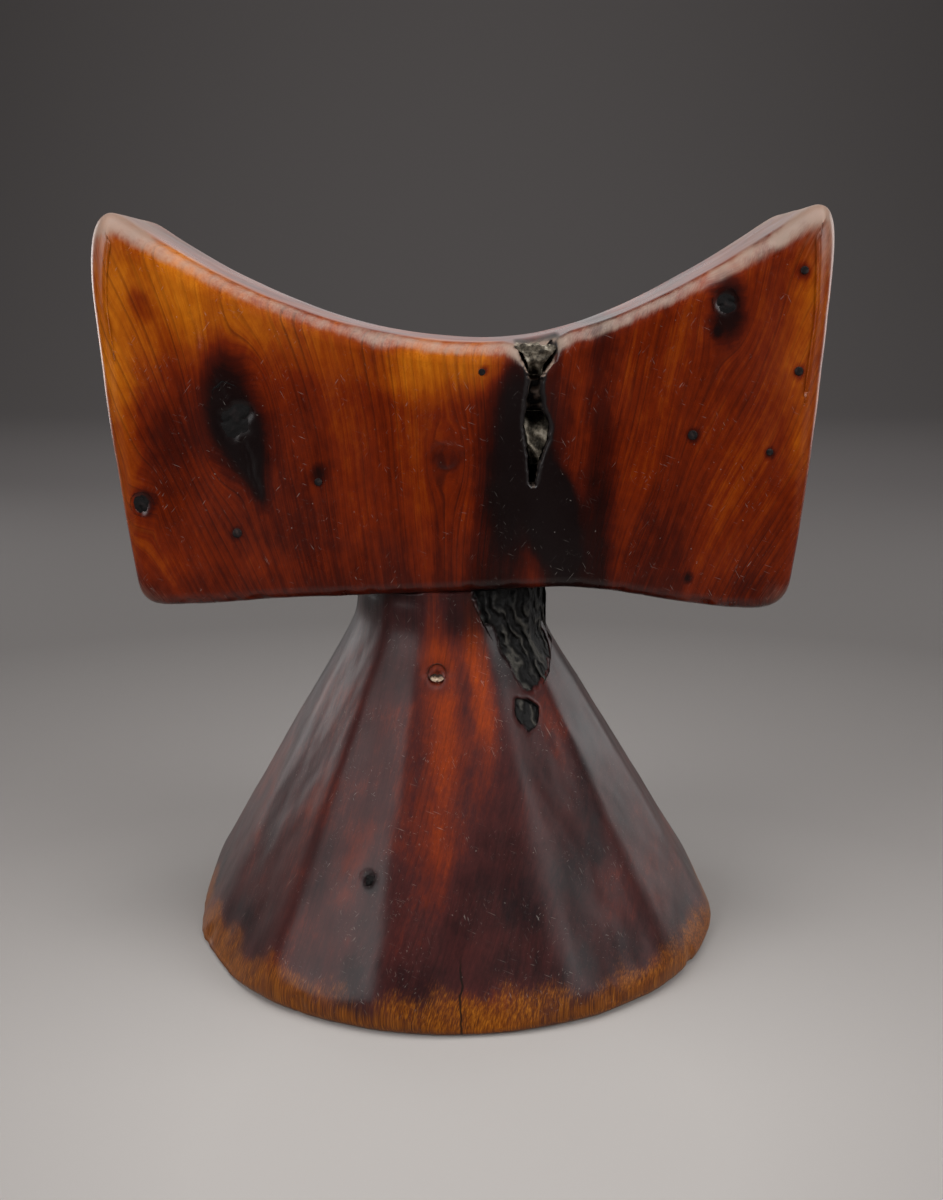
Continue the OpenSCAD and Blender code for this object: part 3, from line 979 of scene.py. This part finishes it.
oiled_stem = bpy.data.materials.new("oiled_stem")
foot_radius = 0.25 * float(np.sum((stem_high - stem_low)[:2])) * MM
foot_centre = [*((stem_high + stem_low)[:2] / 2 * MM), 0.0]
grow(stem, carving, {
    "Cuts": 5, "Foot Radius": foot_radius, "Foot Centre": foot_centre, "Foot Edge": 3 * MM,
    "Ridge Wear": 20, "Neck Wear": 90, "Tool Mark Depth": 0.7 * MM,
    "Tool Mark Size": 11 * MM, "Seed": 7, "Finish": oiled_stem})
print("stem:", len(stem.data.vertices), "points, foot radius", round(foot_radius / MM, 1), "mm")

# %% [markdown]
# ## Pockets in the stem
#
# Bark grew into the stem on its right side, and two small branches left knots. The bark
# pieces and the knots are separate meshes, so the stem first gets a shallow pocket for each.
# A pocket's border is the measured part's own outline, shaken by noise.

# %% Sink the pockets
def shadow_of(node, pad=1.5):
    """A map of where a measured part is seen from the front."""
    tree = merged_tree(node)
    low, high = (np.array(corner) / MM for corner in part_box(node))
    return soft_map(lambda x, z: first_hit(tree, x, z) is not None,
                    (low[0] - pad, high[0] + pad), (low[2] - pad, high[2] + pad), blur=2)


bark_shadow = shadow_of("stem_bark")
low_bark_shadow = shadow_of("lower_stem_bark")


def sink_bark(points, x, z, facing):
    wob = 1.5 * noise_at(points * [1, 1, 0.6], 3.4, 31) + 0.5 * noise_at(points, 1.3, 32)
    inset = 1.1 + wob
    pocket = facing * np.minimum(bark_shadow(x - inset, z), bark_shadow(x + inset, z - 0.5))
    pocket_low = facing * low_bark_shadow(x + 0.4 * wob, z + 0.3 * wob)
    points[:, 1] += 3.4 * pocket + 2.0 * pocket_low
    return pocket, pocket_low


def sink_stem_knots(points, normals, x, z, facing):
    for name, deep in (("stem_upper_knot", 1.2), ("stem_lower_knot", 1.0)):
        centre, radius = KNOTS[name]
        away = np.hypot(x - centre[0], z - centre[2]) / radius
        ragged = away + 0.2 * noise_at(points, 1.8, 33)
        points[:, 1] += facing * deep * (1 - smooth_step(0.6, 1.05, ragged))
        above = smooth_step(-0.1, 0.9, (z - centre[2]) / radius)
        hollow = np.exp(-((away - 1.5) / 0.6) ** 2) * above
        points -= normals * (facing * 0.4 * hollow)[:, None]


print("pocket cutters ready")

# %% [markdown]
# Six small chips are placed round the rim by their turn from the front, in degrees. Then all
# the cuts are made in order, and nothing is allowed to sink below the floor.

# %% Carve the stem
RIM_CHIPS = ((-33, 3.0, 2.6, 0.5), (31, 4.2, 2.2, 0.6), (58, 2.0, 3.0, 0.5),
             (-71, 2.5, 2.6, 0.5), (140, 3.0, 3.4, 0.7), (-128, 2.0, 3.0, 0.6))


def chip_rim(points, normals, x, y, z):
    rim = np.degrees(np.arctan2(x, -y))
    for angle, height, size, deep in RIM_CHIPS:
        away = np.hypot((rim - angle) * 1.12, z - height) / size
        chipped = 1 - smooth_step(0.5, 1.05, away + 0.3 * noise_at(points, 1.5, 35))
        points -= normals * (deep * chipped)[:, None]


def carve_stem():
    points = points_of(stem.data)
    normals = normals_of(stem.data)
    x, y, z = points.T.copy()
    facing = smooth_step(0.1, 0.5, -normals[:, 1]) * (z < stem_high[2] - 0.4)
    pockets = sink_bark(points, x, z, facing)
    sink_stem_knots(points, normals, x, z, facing)
    chip_rim(points, normals, x, y, z)
    points[:, 2] = np.maximum(points[:, 2], 0.0)
    move_points(stem.data, points)
    return points, *pockets


stem_carved, pocket, pocket_low = carve_stem()
print("stem carved:", len(RIM_CHIPS), "chips, bark pocket points", int(np.sum(pocket > 0.5)))

# %% [markdown]
# The stem is the same wood as the crescent, darker with handling. An orange streak comes down
# from the neck between the knot and the bark, and fades into dark red half way. Its foot has
# been rubbed back to orange wood in an uneven band, which `bare` marks.

# %% Tone, soot and painted shadow of the stem
STREAKS = ((0.56, True, (3.6, 74), (3.2, 16), 8, 0.6), (0.22, True, (-4.6, 60), (3.4, 34), 0, 0.8),
           (0.16, True, (-3.0, 60), (9, 26), 0, 0.7))


def stem_tone(x, z, wob, front):
    tone = 0.30 + 0.14 * noise_at(stem_carved * [1, 1, 0.3], 9.0, 42)
    tone = add_stains(tone, STREAKS, x + 0.25 * wob, z, front)
    tone += 0.16 * front * blob(x + 0.5 * wob, z, (19.5, 62), (2.6, 22), 18, 0.7)
    tone -= 0.14 * front * blob(x + wob, z, (8, 30), (12, 15), 0, 0.7)
    tone -= 0.16 * blob(x + wob, z, (28, 40), (9, 30), 0, 0.7)
    return tone


def stem_soot_and_shade(x, z, wob, front):
    patches = smooth_step(0.0, 0.8, np.abs(noise_at(stem_carved, 12.0, 44)))
    # The first term is a painted shadow under the crescent, on the front near the top.
    soot_and_shade = 0.35 * smooth_step(70, 86, z) * front + 0.22 * patches
    soot_and_shade += 1.1 * np.clip(pocket + pocket_low, 0, 1)
    soot_and_shade += 0.5 * front * blob(x, z, (10.5, 80), (13, 18), 0, 0.5)
    for name, ring in (("stem_upper_knot", 0.25), ("stem_lower_knot", 0.7)):
        centre, radius = KNOTS[name]
        soot_and_shade += ring * front * blob(x, z, centre[::2], (radius * 1.5, radius * 1.7))
    return soot_and_shade + 0.28 * smooth_step(6, 0, np.abs(z - 12 + wob)) * (z > 4)


print("stem stains ready")

# %% [markdown]
# The rim itself is worn a little greyer, more on its right side, and a painted sheen greys the
# stem's sides. The fields are then stored under the names that the wood material will look for.

# %% Paint the stem
def paint_stem():
    x, y, z = stem_carved.T
    rim = np.degrees(np.arctan2(x, -y))
    wob = 3.0 * noise_at(stem_carved, 9.0, 40) + 1.2 * noise_at(stem_carved, 3.0, 41)
    front = smooth_step(0, 20, -y)
    bare = smooth_step(12.5, 3.5, z + 1.1 * wob) * smooth_step(-0.2, 1.0, z)
    bare *= 0.75 + 0.35 * noise_at(stem_carved * [1, 1, 0.2], 2.5, 43)
    worn = 0.30 * smooth_step(18, 50, rim) * smooth_step(75, 50, rim) * smooth_step(7, 3, z)
    # The bottom edge is worn; the second term is a painted sheen that greys the stem's sides.
    worn += 0.35 * smooth_step(2.2, 0.6, z) + 0.20 * smooth_step(30, 60, np.abs(rim))
    dry = np.clip(pocket + pocket_low, 0, 1)
    fields = {"tone": stem_tone(x, z, wob, front), "soot_and_shade": stem_soot_and_shade(x, z, wob, front),
              "worn": worn, "bare": bare, "dry": dry}
    paint(stem.data, "grain", grain_of(stem_carved))
    for name, values in fields.items():
        paint(stem.data, name, np.clip(values, 0, 1.2))
    print("stem painted, bare share", round(float(np.mean(bare > 0.3)), 2))


paint_stem()

# %% [markdown]
# ## Bark and knots
#
# Bark that was trapped in the wood is corky, folded and dull. Dead knots are dark, shrunken and
# cracked across. Each starts as its measured part, wrapped in small even squares
# by the Remesh modifier, which also closes it. Then its front is pushed into shape.

# %% Wrap a measured part in even squares
def wrapped(node, name, square):
    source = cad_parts[node].data.copy()
    piece = bpy.data.objects.new(name, source)
    bpy.context.scene.collection.objects.link(piece)
    merge = bmesh.new()
    merge.from_mesh(source)
    bmesh.ops.remove_doubles(merge, verts=merge.verts, dist=1e-6)
    merge.to_mesh(source)
    merge.free()
    source.materials.clear()
    step = piece.modifiers.new("even_squares", "REMESH")
    step.mode = "VOXEL"
    step.voxel_size = square * MM
    settle(piece, step)
    return piece


print("wrapper ready")

# %% [markdown]
# Bark folds in upright ridges that wander and break, so a bent sine wave makes the folds
# and noise makes the lumps. The ends may sink away into the wood, and the top may flare out.
# The painted `height` starts from a base tone, gets a painted highlight on the crests, and is
# darker from 80 mm up to 95 mm.

# %% Shape the bark
def shape_bark(node, name, square, sink, folds, lumps, base, crest_highlight, seed,
               ends=(0, 0), flare=0.0):
    piece = wrapped(node, name, square)
    points = points_of(piece.data)
    facing = smooth_step(0.05, 0.5, -normals_of(piece.data)[:, 1])
    x, _, z = points.T
    bend = 2.2 * noise_at(points * [0.8, 1, 0.6], 4.0, seed) + 0.8 * noise_at(points, 1.8, seed + 5)
    ridge = np.abs(np.sin(math.pi * (x + 0.42 * z + bend) / 2.9))
    breaks = smooth_step(0.0, 0.5, noise_at(points * [1, 1, 0.6], 3.2, seed + 4))
    rough = noise_at(points, 1.3, seed + 1) + 0.5 * noise_at(points, 0.6, seed + 2)
    crest = ridge ** 2 * (1 - 0.7 * breaks)
    push = sink + folds * (1 - crest) - lumps * rough
    push += ends[0] * smooth_step(z.min() + 3.5, z.min(), z + 0.4 * bend)
    push += ends[1] * smooth_step(z.max() - 4.5, z.max(), z + 0.4 * bend)
    points[:, 1] += facing * push
    points[:, 0] += (1 - facing) * 0.10 * rough
    middle = 0.5 * (x.min() + x.max())
    points[:, 0] += flare * (x - middle) * smooth_step(z.max() - 8, z.max() - 2, z)
    if flare:
        points[:, 2] += (0.9 * rough - 0.6) * smooth_step(z.max() - 3, z.max(), z)
    move_points(piece.data, points)
    # Painted highlight on the fold crests, and darker from 80 mm up to 95 mm.
    shade = base + crest_highlight * crest ** 2 - 0.14 * rough
    shade -= 0.35 * smooth_step(80, 88, z) * (z < 95)
    paint(piece.data, "height", np.clip(shade, 0, 1))
    print(name, len(points), "points")
    return piece


barks = [shape_bark("stem_bark", "trapped_bark_upper", 0.26, 0.9, 1.2, 0.30, 0.12, 0.70, 51),
         shape_bark("lower_stem_bark", "trapped_bark_lower", 0.20, 0.5, 0.8, 0.25, 0.12, 0.70, 54),
         shape_bark("crown_bark", "split_bark_upper", 0.20, -1.0, 0.8, 0.60, 0.36, 0.45, 57,
                    ends=(4.0, 0.0), flare=0.35),
         shape_bark("crevice_bark", "split_bark_lower", 0.16, -0.4, 0.9, 0.35, 0.28, 0.45, 60,
                    ends=(2.0, 5.0))]

# %% [markdown]
# A dead knot shrinks and cracks from its middle like a star. A pale one has also rotted out in its
# upper half, and is rougher. Its painted height darkens the cracks, the sunk rim and the hollow as
# painted shade, and lightens raised bumps as a painted highlight. The seven pin knots only need a
# shade.

# %% Shape the knots
def shape_knot(node, name, square, sink, seed, pale=0.0):
    piece = wrapped(node, name, square)
    points = points_of(piece.data)
    facing = smooth_step(0.3, 0.8, -normals_of(piece.data)[:, 1])
    centre, radius = KNOTS[node]
    dx, dz = points[:, 0] - centre[0], points[:, 2] - centre[2]
    away = np.hypot(dx, dz) / radius
    turn = np.arctan2(dz, dx)
    star = np.abs(np.sin(turn + 0.8 * seed + 1.6 * noise_at(points, 3.0, seed)))
    cracks = np.exp(-(star * away / 0.13) ** 2) * smooth_step(0.05, 0.3, away)
    rough = noise_at(points, 1.4, seed + 1) + 0.5 * noise_at(points, 0.6, seed + 2)
    hollow = pale * smooth_step(-0.1, 0.7, dz / radius)
    points[:, 1] += facing * (sink + 0.3 * cracks + 0.35 * away ** 2 + 1.2 * hollow
                               - (0.11 + 0.22 * pale) * rough)
    move_points(piece.data, points)
    # Painted shade in the cracks, towards the sunk rim and in the hollow; painted highlight on
    # raised bumps.
    shade = 0.45 + 0.3 * rough - 0.6 * cracks - 0.5 * away + 0.5 * pale - 1.1 * hollow
    paint(piece.data, "height", np.clip(shade, 0, 1))
    print(name, len(points), "points")
    return piece


knots = [shape_knot("left_dead_knot", "knot_left_horn", 0.28, 0.30, 71),
         shape_knot("right_dead_knot", "knot_right_horn", 0.20, 0.25, 74),
         shape_knot("edge_knot", "knot_left_end", 0.20, 0.3, 77),
         shape_knot("stem_upper_knot", "knot_stem_upper", 0.16, 0.35, 80, pale=1.0),
         shape_knot("stem_lower_knot", "knot_stem_lower", 0.16, 0.2, 83)]
pins = wrapped("pin_knots", "pin_knot_set", 0.14)
pin_points = points_of(pins.data)
paint(pins.data, "height", np.clip(0.5 + 0.5 * noise_at(pin_points, 0.8, 90), 0, 1))
print("pins", len(pin_points), "points")

# %% [markdown]
# ## The polished wood
#
# Materials are node trees too. These helpers read a painted field, make noise, and mix
# values and colours. `sway` turns a noise into a push up or down of a given size.

# %% Helpers for materials
def new_skin(material):
    material.use_nodes = True
    tree = material.node_tree
    place = add(tree, "ShaderNodeTexCoord").outputs["Object"]
    return tree, tree.nodes["Principled BSDF"], place


def finish_skin(tree, skin, **looks):
    for name, value in looks.items():
        feed(tree, skin.inputs[name.replace("_", " ")], value)


def field(tree, name, kind="Fac"):
    return add(tree, "ShaderNodeAttribute", attribute_name=name).outputs[kind]


def noise_of(tree, vector, scale, detail=3.0, rough=0.5, twist=0.0):
    spot = vectors(tree, "MULTIPLY", vector, scale)
    return add(tree, "ShaderNodeTexNoise", in_Vector=spot, in_Scale=1.0, in_Detail=detail,
               in_Roughness=rough, in_Distortion=twist).outputs[0]


def between(tree, value, low, high, to_low=0.0, to_high=1.0):
    made = add(tree, "ShaderNodeMapRange", interpolation_type="SMOOTHSTEP", in_Value=value,
               in_From_Min=low, in_From_Max=high, in_To_Min=to_low, in_To_Max=to_high)
    return made.outputs[0]


def blend_colour(tree, amount, first, second):
    made = add(tree, "ShaderNodeMix", data_type="RGBA", in_0=amount)
    for socket, value in ((made.inputs[6], first), (made.inputs[7], second)):
        feed(tree, socket, (*value, 1.0) if isinstance(value, tuple) else value)
    return made.outputs[2]


def colour_steps(tree, value, stops):
    made = add(tree, "ShaderNodeValToRGB", in_0=value)
    bar = made.color_ramp.elements
    while len(bar) < len(stops):
        bar.new(0.5)
    for step, (place, colour) in zip(bar, stops):
        step.position = place
        step.color = (*colour, 1.0)
    return made.outputs[0]


def fold_up(tree, how, values):
    total = values[0]
    for value in values[1:]:
        total = maths(tree, how, total, value)
    return total


def plus(tree, *values):
    return fold_up(tree, "ADD", values)


def times(tree, *values):
    return fold_up(tree, "MULTIPLY", values)


def sway(tree, value, amount):
    return times(tree, maths(tree, "SUBTRACT", value, 0.5), amount)


def relief_of(tree, height, strength, depth):
    return add(tree, "ShaderNodeBump", in_Height=height, in_Strength=strength,
               in_Distance=depth * MM).outputs[0]


print("material helpers ready")

# %% [markdown]
# Ring distance is cut into repeating steps, each with a thin dark line at its end: the late
# wood of a year. Long, thin noise makes streaks and fibres, and even noise makes mottling
# and flecks. A used surface also has fine scratches and dents.

# %% Figure and scratches
def wood_noise(tree, grain, place):
    return {"broad": noise_of(tree, grain, (0.13, 0.03, 0.010), 2.0),
            "streak": noise_of(tree, grain, (0.75, 0.20, 0.016), 3.0, 0.55),
            "fibre": noise_of(tree, grain, (3.6, 1.5, 0.09), 3.0, 0.6),
            "mottle": noise_of(tree, place, (60, 60, 45), 4.0, 0.6),
            "fleck": noise_of(tree, place, (520, 520, 260), 4.0, 0.65)}


def late_wood(tree, grain, noise):
    year = add(tree, "ShaderNodeSeparateXYZ", in_0=grain).outputs[0]
    count = plus(tree, times(tree, year, 0.62), times(tree, noise["broad"], 3.0),
                 times(tree, noise["streak"], 0.9))
    part = maths(tree, "FRACT", count)
    late = times(tree, between(tree, part, 0.55, 0.93), between(tree, part, 1.0, 0.95))
    return times(tree, late, between(tree, noise["streak"], 0.30, 0.60, 0.1, 1.0),
                 between(tree, noise["broad"], 0.35, 0.6, 1.0, 0.35))


def scratches(tree, place, seed, rare):
    """Short straight marks in three directions: thin noise, kept only at its rare peaks."""
    total = None
    for turn in (24 + seed, -41 + 2 * seed, 71 - seed):
        turned = add(tree, "ShaderNodeMapping", in_Vector=place,
                     in_Rotation=(math.radians(turn * 0.4), math.radians(turn), 0.3))
        thin = noise_of(tree, turned.outputs[0], (4300, 1500, 230), 1.0, 0.5, 0.4)
        kept = between(tree, thin, rare, rare + 0.08)
        total = kept if total is None else maths(tree, "MAXIMUM", total, kept)
    patchy = between(tree, noise_of(tree, place, (90, 90, 90), 2.0), 0.42, 0.62)
    dots = between(tree, noise_of(tree, place, (1500, 1500, 1500), 1.0), 0.77, 0.83)
    return maths(tree, "MAXIMUM", times(tree, total, patchy), dots)


print("figure and scratches ready")

# %% [markdown]
# One recipe makes both woods, with different colours. The painted tone picks the place on the row
# of colours. Soot and painted shade then blend it to a soot colour, and wear and painted sheen
# blend it to a pale rubbed brown.
# A clear coat gives the deep shine of palm oil and handling.

# %% The wood recipe
SWAYS = {"broad": 0.36, "streak": 0.28, "fibre": 0.26, "mottle": 0.34, "fleck": 0.26}
SCRATCH_COLOUR = (0.42, 0.38, 0.34)


def wood_colour(tree, noise, late, marks, stops, soot_and_shade_colour, pale, ring_depth):
    tone, soot_and_shade, worn = [field(tree, name) for name in ("tone", "soot_and_shade", "worn")]
    swayed = [sway(tree, noise[name], amount) for name, amount in SWAYS.items()]
    level = plus(tree, tone, *swayed, times(tree, soot_and_shade, -0.50))
    colour = colour_steps(tree, level, stops)
    colour = blend_colour(tree, times(tree, late, ring_depth), colour, soot_and_shade_colour)
    # The dark blend carries soot and painted shade.
    dark = between(tree, plus(tree, soot_and_shade, sway(tree, noise["mottle"], 0.5),
                              sway(tree, noise["streak"], 0.40)), 0.38, 1.10)
    colour = blend_colour(tree, times(tree, dark, 0.96), colour, soot_and_shade_colour)
    # The pale blend carries real wear and painted sheen.
    rub_and_sheen = between(tree, plus(tree, worn, sway(tree, noise["mottle"], 0.6),
                             sway(tree, noise["fibre"], 0.5)), 0.15, 1.0)
    colour = blend_colour(tree, times(tree, rub_and_sheen, 0.80), colour, pale)
    return blend_colour(tree, times(tree, marks, 0.22), colour, SCRATCH_COLOUR), rub_and_sheen


def wood(material, stops, soot_and_shade_colour, pale, shine, ring_depth, coat, sheen, rare):
    tree, skin, place = new_skin(material)
    grain = field(tree, "grain", "Vector")
    noise = wood_noise(tree, grain, place)
    late = late_wood(tree, grain, noise)
    marks = scratches(tree, place, 3, rare)
    colour, rub_and_sheen = wood_colour(tree, noise, late, marks, stops, soot_and_shade_colour, pale, ring_depth)
    smear = noise_of(tree, place, (38, 38, 24), 3.0, 0.6)
    gloss = plus(tree, between(tree, smear, 0.3, 0.75, shine, shine + 0.13),
                 times(tree, rub_and_sheen, 0.20), times(tree, marks, 0.10),
                 times(tree, field(tree, "dry"), 0.45))
    relief = plus(tree, times(tree, noise["fibre"], 0.35), times(tree, late, -0.30),
                  times(tree, marks, -0.35), times(tree, noise["mottle"], 0.25),
                  times(tree, noise["fleck"], 0.6))
    finish_skin(tree, skin, Base_Color=colour, Roughness=gloss,
                Normal=relief_of(tree, relief, 0.35, 0.06), Specular_IOR_Level=sheen,
                Coat_Weight=coat, Coat_Roughness=0.12)
    return tree, skin, place, colour, noise


polished = bpy.data.materials.new("polished_crescent")
wood(polished,
     stops=((0.0, (0.010, 0.0010, 0.0004)), (0.26, (0.045, 0.0035, 0.0004)),
            (0.44, (0.115, 0.0105, 0.0005)), (0.62, (0.205, 0.032, 0.0008)),
            (0.80, (0.330, 0.078, 0.002)), (1.0, (0.500, 0.150, 0.006))),
     soot_and_shade_colour=(0.0035, 0.0013, 0.0013), pale=(0.27, 0.195, 0.150), shine=0.24,
     ring_depth=0.50, coat=0.10, sheen=0.24, rare=0.725)
print("polished wood:", len(polished.node_tree.nodes), "nodes")

# %% [markdown]
# The stem's wood is the same recipe in a browner, duller range, with the bare orange band
# added over it near the floor. At the front, a thin drying check climbs from the floor.
# Its sizes are in metres, because the shader reads the object's own coordinates.

# %% The stem's wood
def foot_check(tree, place):
    wander = sway(tree, noise_of(tree, place, (60, 20, 260), 2.0), 0.0022)
    across, back, up = add(tree, "ShaderNodeSeparateXYZ", in_0=place).outputs
    gap = maths(tree, "ABSOLUTE", plus(tree, across, wander, 0.0002))
    low_front = times(tree, between(tree, up, 0.0165, 0.0125),
                      between(tree, back, -0.03, -0.05))
    return times(tree, between(tree, gap, 0.00034, 0.00012), low_front)


def stem_wood():
    tree, skin, place, colour, noise = wood(
        oiled_stem,
        stops=((0.0, (0.010, 0.0035, 0.004)), (0.30, (0.040, 0.0095, 0.0085)),
               (0.50, (0.100, 0.0150, 0.0065)), (0.72, (0.21, 0.028, 0.003)),
               (1.0, (0.38, 0.072, 0.004))),
        soot_and_shade_colour=(0.005, 0.0028, 0.0028), pale=(0.150, 0.115, 0.100), shine=0.34,
        ring_depth=0.35, coat=0.03, sheen=0.13, rare=0.705)
    band = between(tree, plus(tree, field(tree, "bare"), sway(tree, noise["fibre"], 0.7),
                              sway(tree, noise["mottle"], 0.5)), 0.15, 0.85)
    orange = colour_steps(tree, noise["fibre"], (
        (0.25, (0.035, 0.008, 0.001)), (0.5, (0.125, 0.033, 0.002)),
        (0.75, (0.260, 0.088, 0.006))))
    colour = blend_colour(tree, times(tree, band, 0.9), colour, orange)
    crack = times(tree, foot_check(tree, place), 0.9)
    finish_skin(tree, skin, Base_Color=blend_colour(tree, crack, colour,
                                                    (0.006, 0.003, 0.002)))


stem_wood()
print("stem wood:", len(oiled_stem.node_tree.nodes), "nodes")

# %% [markdown]
# Bark and knots are rough and unpolished. Their colour follows the painted height, which holds
# painted shade and highlight: pits are painted black, and raised crumbs are painted grey-green or
# beige.

# %% Bark and knot materials
def crumbly(name, low, middle, high, roughness, bump_depth):
    material = bpy.data.materials.new(name)
    tree, skin, place = new_skin(material)
    crumbs = noise_of(tree, place, (1500, 1500, 1100), 4.0, 0.65)
    level = plus(tree, field(tree, "height"), sway(tree, crumbs, 0.9))
    colour = colour_steps(tree, level, ((0.25, low), (0.55, middle), (0.95, high)))
    finish_skin(tree, skin, Base_Color=colour, Roughness=roughness, Specular_IOR_Level=0.18,
                Normal=relief_of(tree, crumbs, 0.6, bump_depth))
    return material


bark_skin = crumbly("grey_bark", (0.003, 0.0027, 0.0026), (0.013, 0.012, 0.0105),
                    (0.050, 0.046, 0.038), 0.62, 0.20)
fill_skin = crumbly("split_residue", (0.020, 0.016, 0.011), (0.140, 0.118, 0.088),
                    (0.420, 0.375, 0.300), 0.70, 0.30)
knot_skin = crumbly("dead_knot_wood", (0.002, 0.0014, 0.0014), (0.008, 0.005, 0.005),
                    (0.036, 0.024, 0.021), 0.80, 0.15)
chip_skin = crumbly("pale_knot_wood", (0.02, 0.010, 0.006), (0.26, 0.18, 0.125),
                    (0.58, 0.44, 0.33), 0.6, 0.2)
print("rough materials ready")

# %% [markdown]
# ## Floor, backdrop and light
#
# The floor sweeps up behind the object in one curve, as a paper roll does in a studio. Its colour
# holds a painted pool of light: lightest round the foot and falling off with distance, so the
# picture is lightest round the object.

# %% Floor and backdrop
def paper_sweep():
    wide, near, far, bend, tall = 4200, -1300, 1500, 900, 3200
    profile = [(near, 0.0)] + [(y, 0.0) for y in np.linspace(near, far, 12)[1:]]
    profile += [(far + bend * math.sin(t), bend - bend * math.cos(t))
                for t in np.linspace(0, math.pi / 2, 16)[1:]]
    profile += [(far + bend, tall)]
    points = np.array([(x, y, z) for y, z in profile for x in (-wide, wide)], float)
    faces = [[2 * i, 2 * i + 1, 2 * i + 3, 2 * i + 2] for i in range(len(profile) - 1)]
    return new_object("paper_sweep", points, faces)


def paper_look():
    material = bpy.data.materials.new("studio_paper")
    tree, skin, place = new_skin(material)
    flat = vectors(tree, "MULTIPLY", place, (1, 1, 0))
    reach = vectors(tree, "DISTANCE", flat, (0, -0.10, 0), out=1)
    # Painted pool of light: the paper's colour darkens with distance from the foot.
    tone = colour_steps(tree, reach, ((0.05, (0.36, 0.338, 0.322)),
                                      (0.19, (0.215, 0.199, 0.190)),
                                      (0.42, (0.115, 0.105, 0.100)),
                                      (1.0, (0.110, 0.100, 0.098))))
    finish_skin(tree, skin, Base_Color=tone, Roughness=0.9)
    return material


paper = paper_sweep()
paper.data.materials.append(paper_look())
print("paper sweep", len(paper.data.vertices), "points")

# %% [markdown]
# One wide soft light hangs overhead and two large ones stand at the sides. A glow from the back
# and two low rim lights behind the object draw its edges. The last light only reaches the
# backdrop. Places, aims and sizes are in millimetres, then watts and the spread in degrees.

# %% Lights
def soft_light(name, place, aim, size, watts, spread):
    lamp = bpy.data.lights.new(name, "AREA")
    lamp.shape = "RECTANGLE"
    lamp.size = size[0] * MM
    lamp.size_y = size[1] * MM
    lamp.energy = watts
    lamp.spread = math.radians(spread)
    holder = bpy.data.objects.new(name, lamp)
    holder.location = [c * MM for c in place]
    holder.visible_camera = False
    toward = Vector(aim) - Vector(place)
    holder.rotation_euler = toward.to_track_quat("-Z", "Y").to_euler()
    bpy.context.scene.collection.objects.link(holder)


LAMPS = (("overhead", (0, -60, 820), (0, -10, 80), (1000, 620), 2.6, 110),
         ("left_key", (-760, -600, 560), (0, 0, 100), (860, 800), 1.85, 62),
         ("right_key", (800, -560, 540), (0, 0, 100), (860, 800), 1.9, 62),
         ("back_glow", (0, 900, 420), (0, 0, 150), (1500, 520), 0.40, 90),
         ("left_rim", (-720, 700, 220), (0, 0, 60), (380, 460), 0.5, 90),
         ("right_rim", (760, 600, 220), (0, 0, 60), (380, 460), 0.4, 90),
         ("paper_glow", (0, 500, 1100), (0, 2000, 300), (1200, 600), 14.0, 150))
for row in LAMPS:
    soft_light(*row)
world = bpy.data.worlds.new("studio_air")
bpy.context.scene.world = world
world.use_nodes = True
world.node_tree.nodes["Background"].inputs["Color"].default_value = (0.030, 0.026, 0.026, 1)
world.node_tree.nodes["Background"].inputs["Strength"].default_value = 1.0
bpy.context.scene.view_settings.view_transform = "Standard"

# %% [markdown]
# ## Hand over to the frame
#
# Each finished piece is given its material, rides on the one rigid body, and stands in for the
# measured part it was made from.

# %% Materials, bodies and parts
made = [(crescent, "neck_rest", polished, "polished_wood"),
        (stem, "pedestal", oiled_stem, "dark_patina_wood"),
        (barks[0], "stem_bark", bark_skin, "bark"),
        (barks[1], "lower_stem_bark", bark_skin, "bark"),
        (barks[2], "crown_bark", fill_skin, "bark"),
        (barks[3], "crevice_bark", fill_skin, "bark"),
        (knots[0], "left_dead_knot", knot_skin, "dead_knot"),
        (knots[1], "right_dead_knot", knot_skin, "dead_knot"),
        (knots[2], "edge_knot", knot_skin, "dead_knot"),
        (knots[3], "stem_upper_knot", chip_skin, "dead_knot"),
        (knots[4], "stem_lower_knot", knot_skin, "dead_knot"),
        (pins, "pin_knots", knot_skin, "dead_knot")]
for piece, node, look, slot in made:
    if not piece.data.materials:
        piece.data.materials.append(look)
    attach(piece, "root")
    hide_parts(node)
print("pieces:", len(made))

# %% [markdown]
# Last, the view layer is updated.

# %% Update the view layer
bpy.context.view_layer.update()
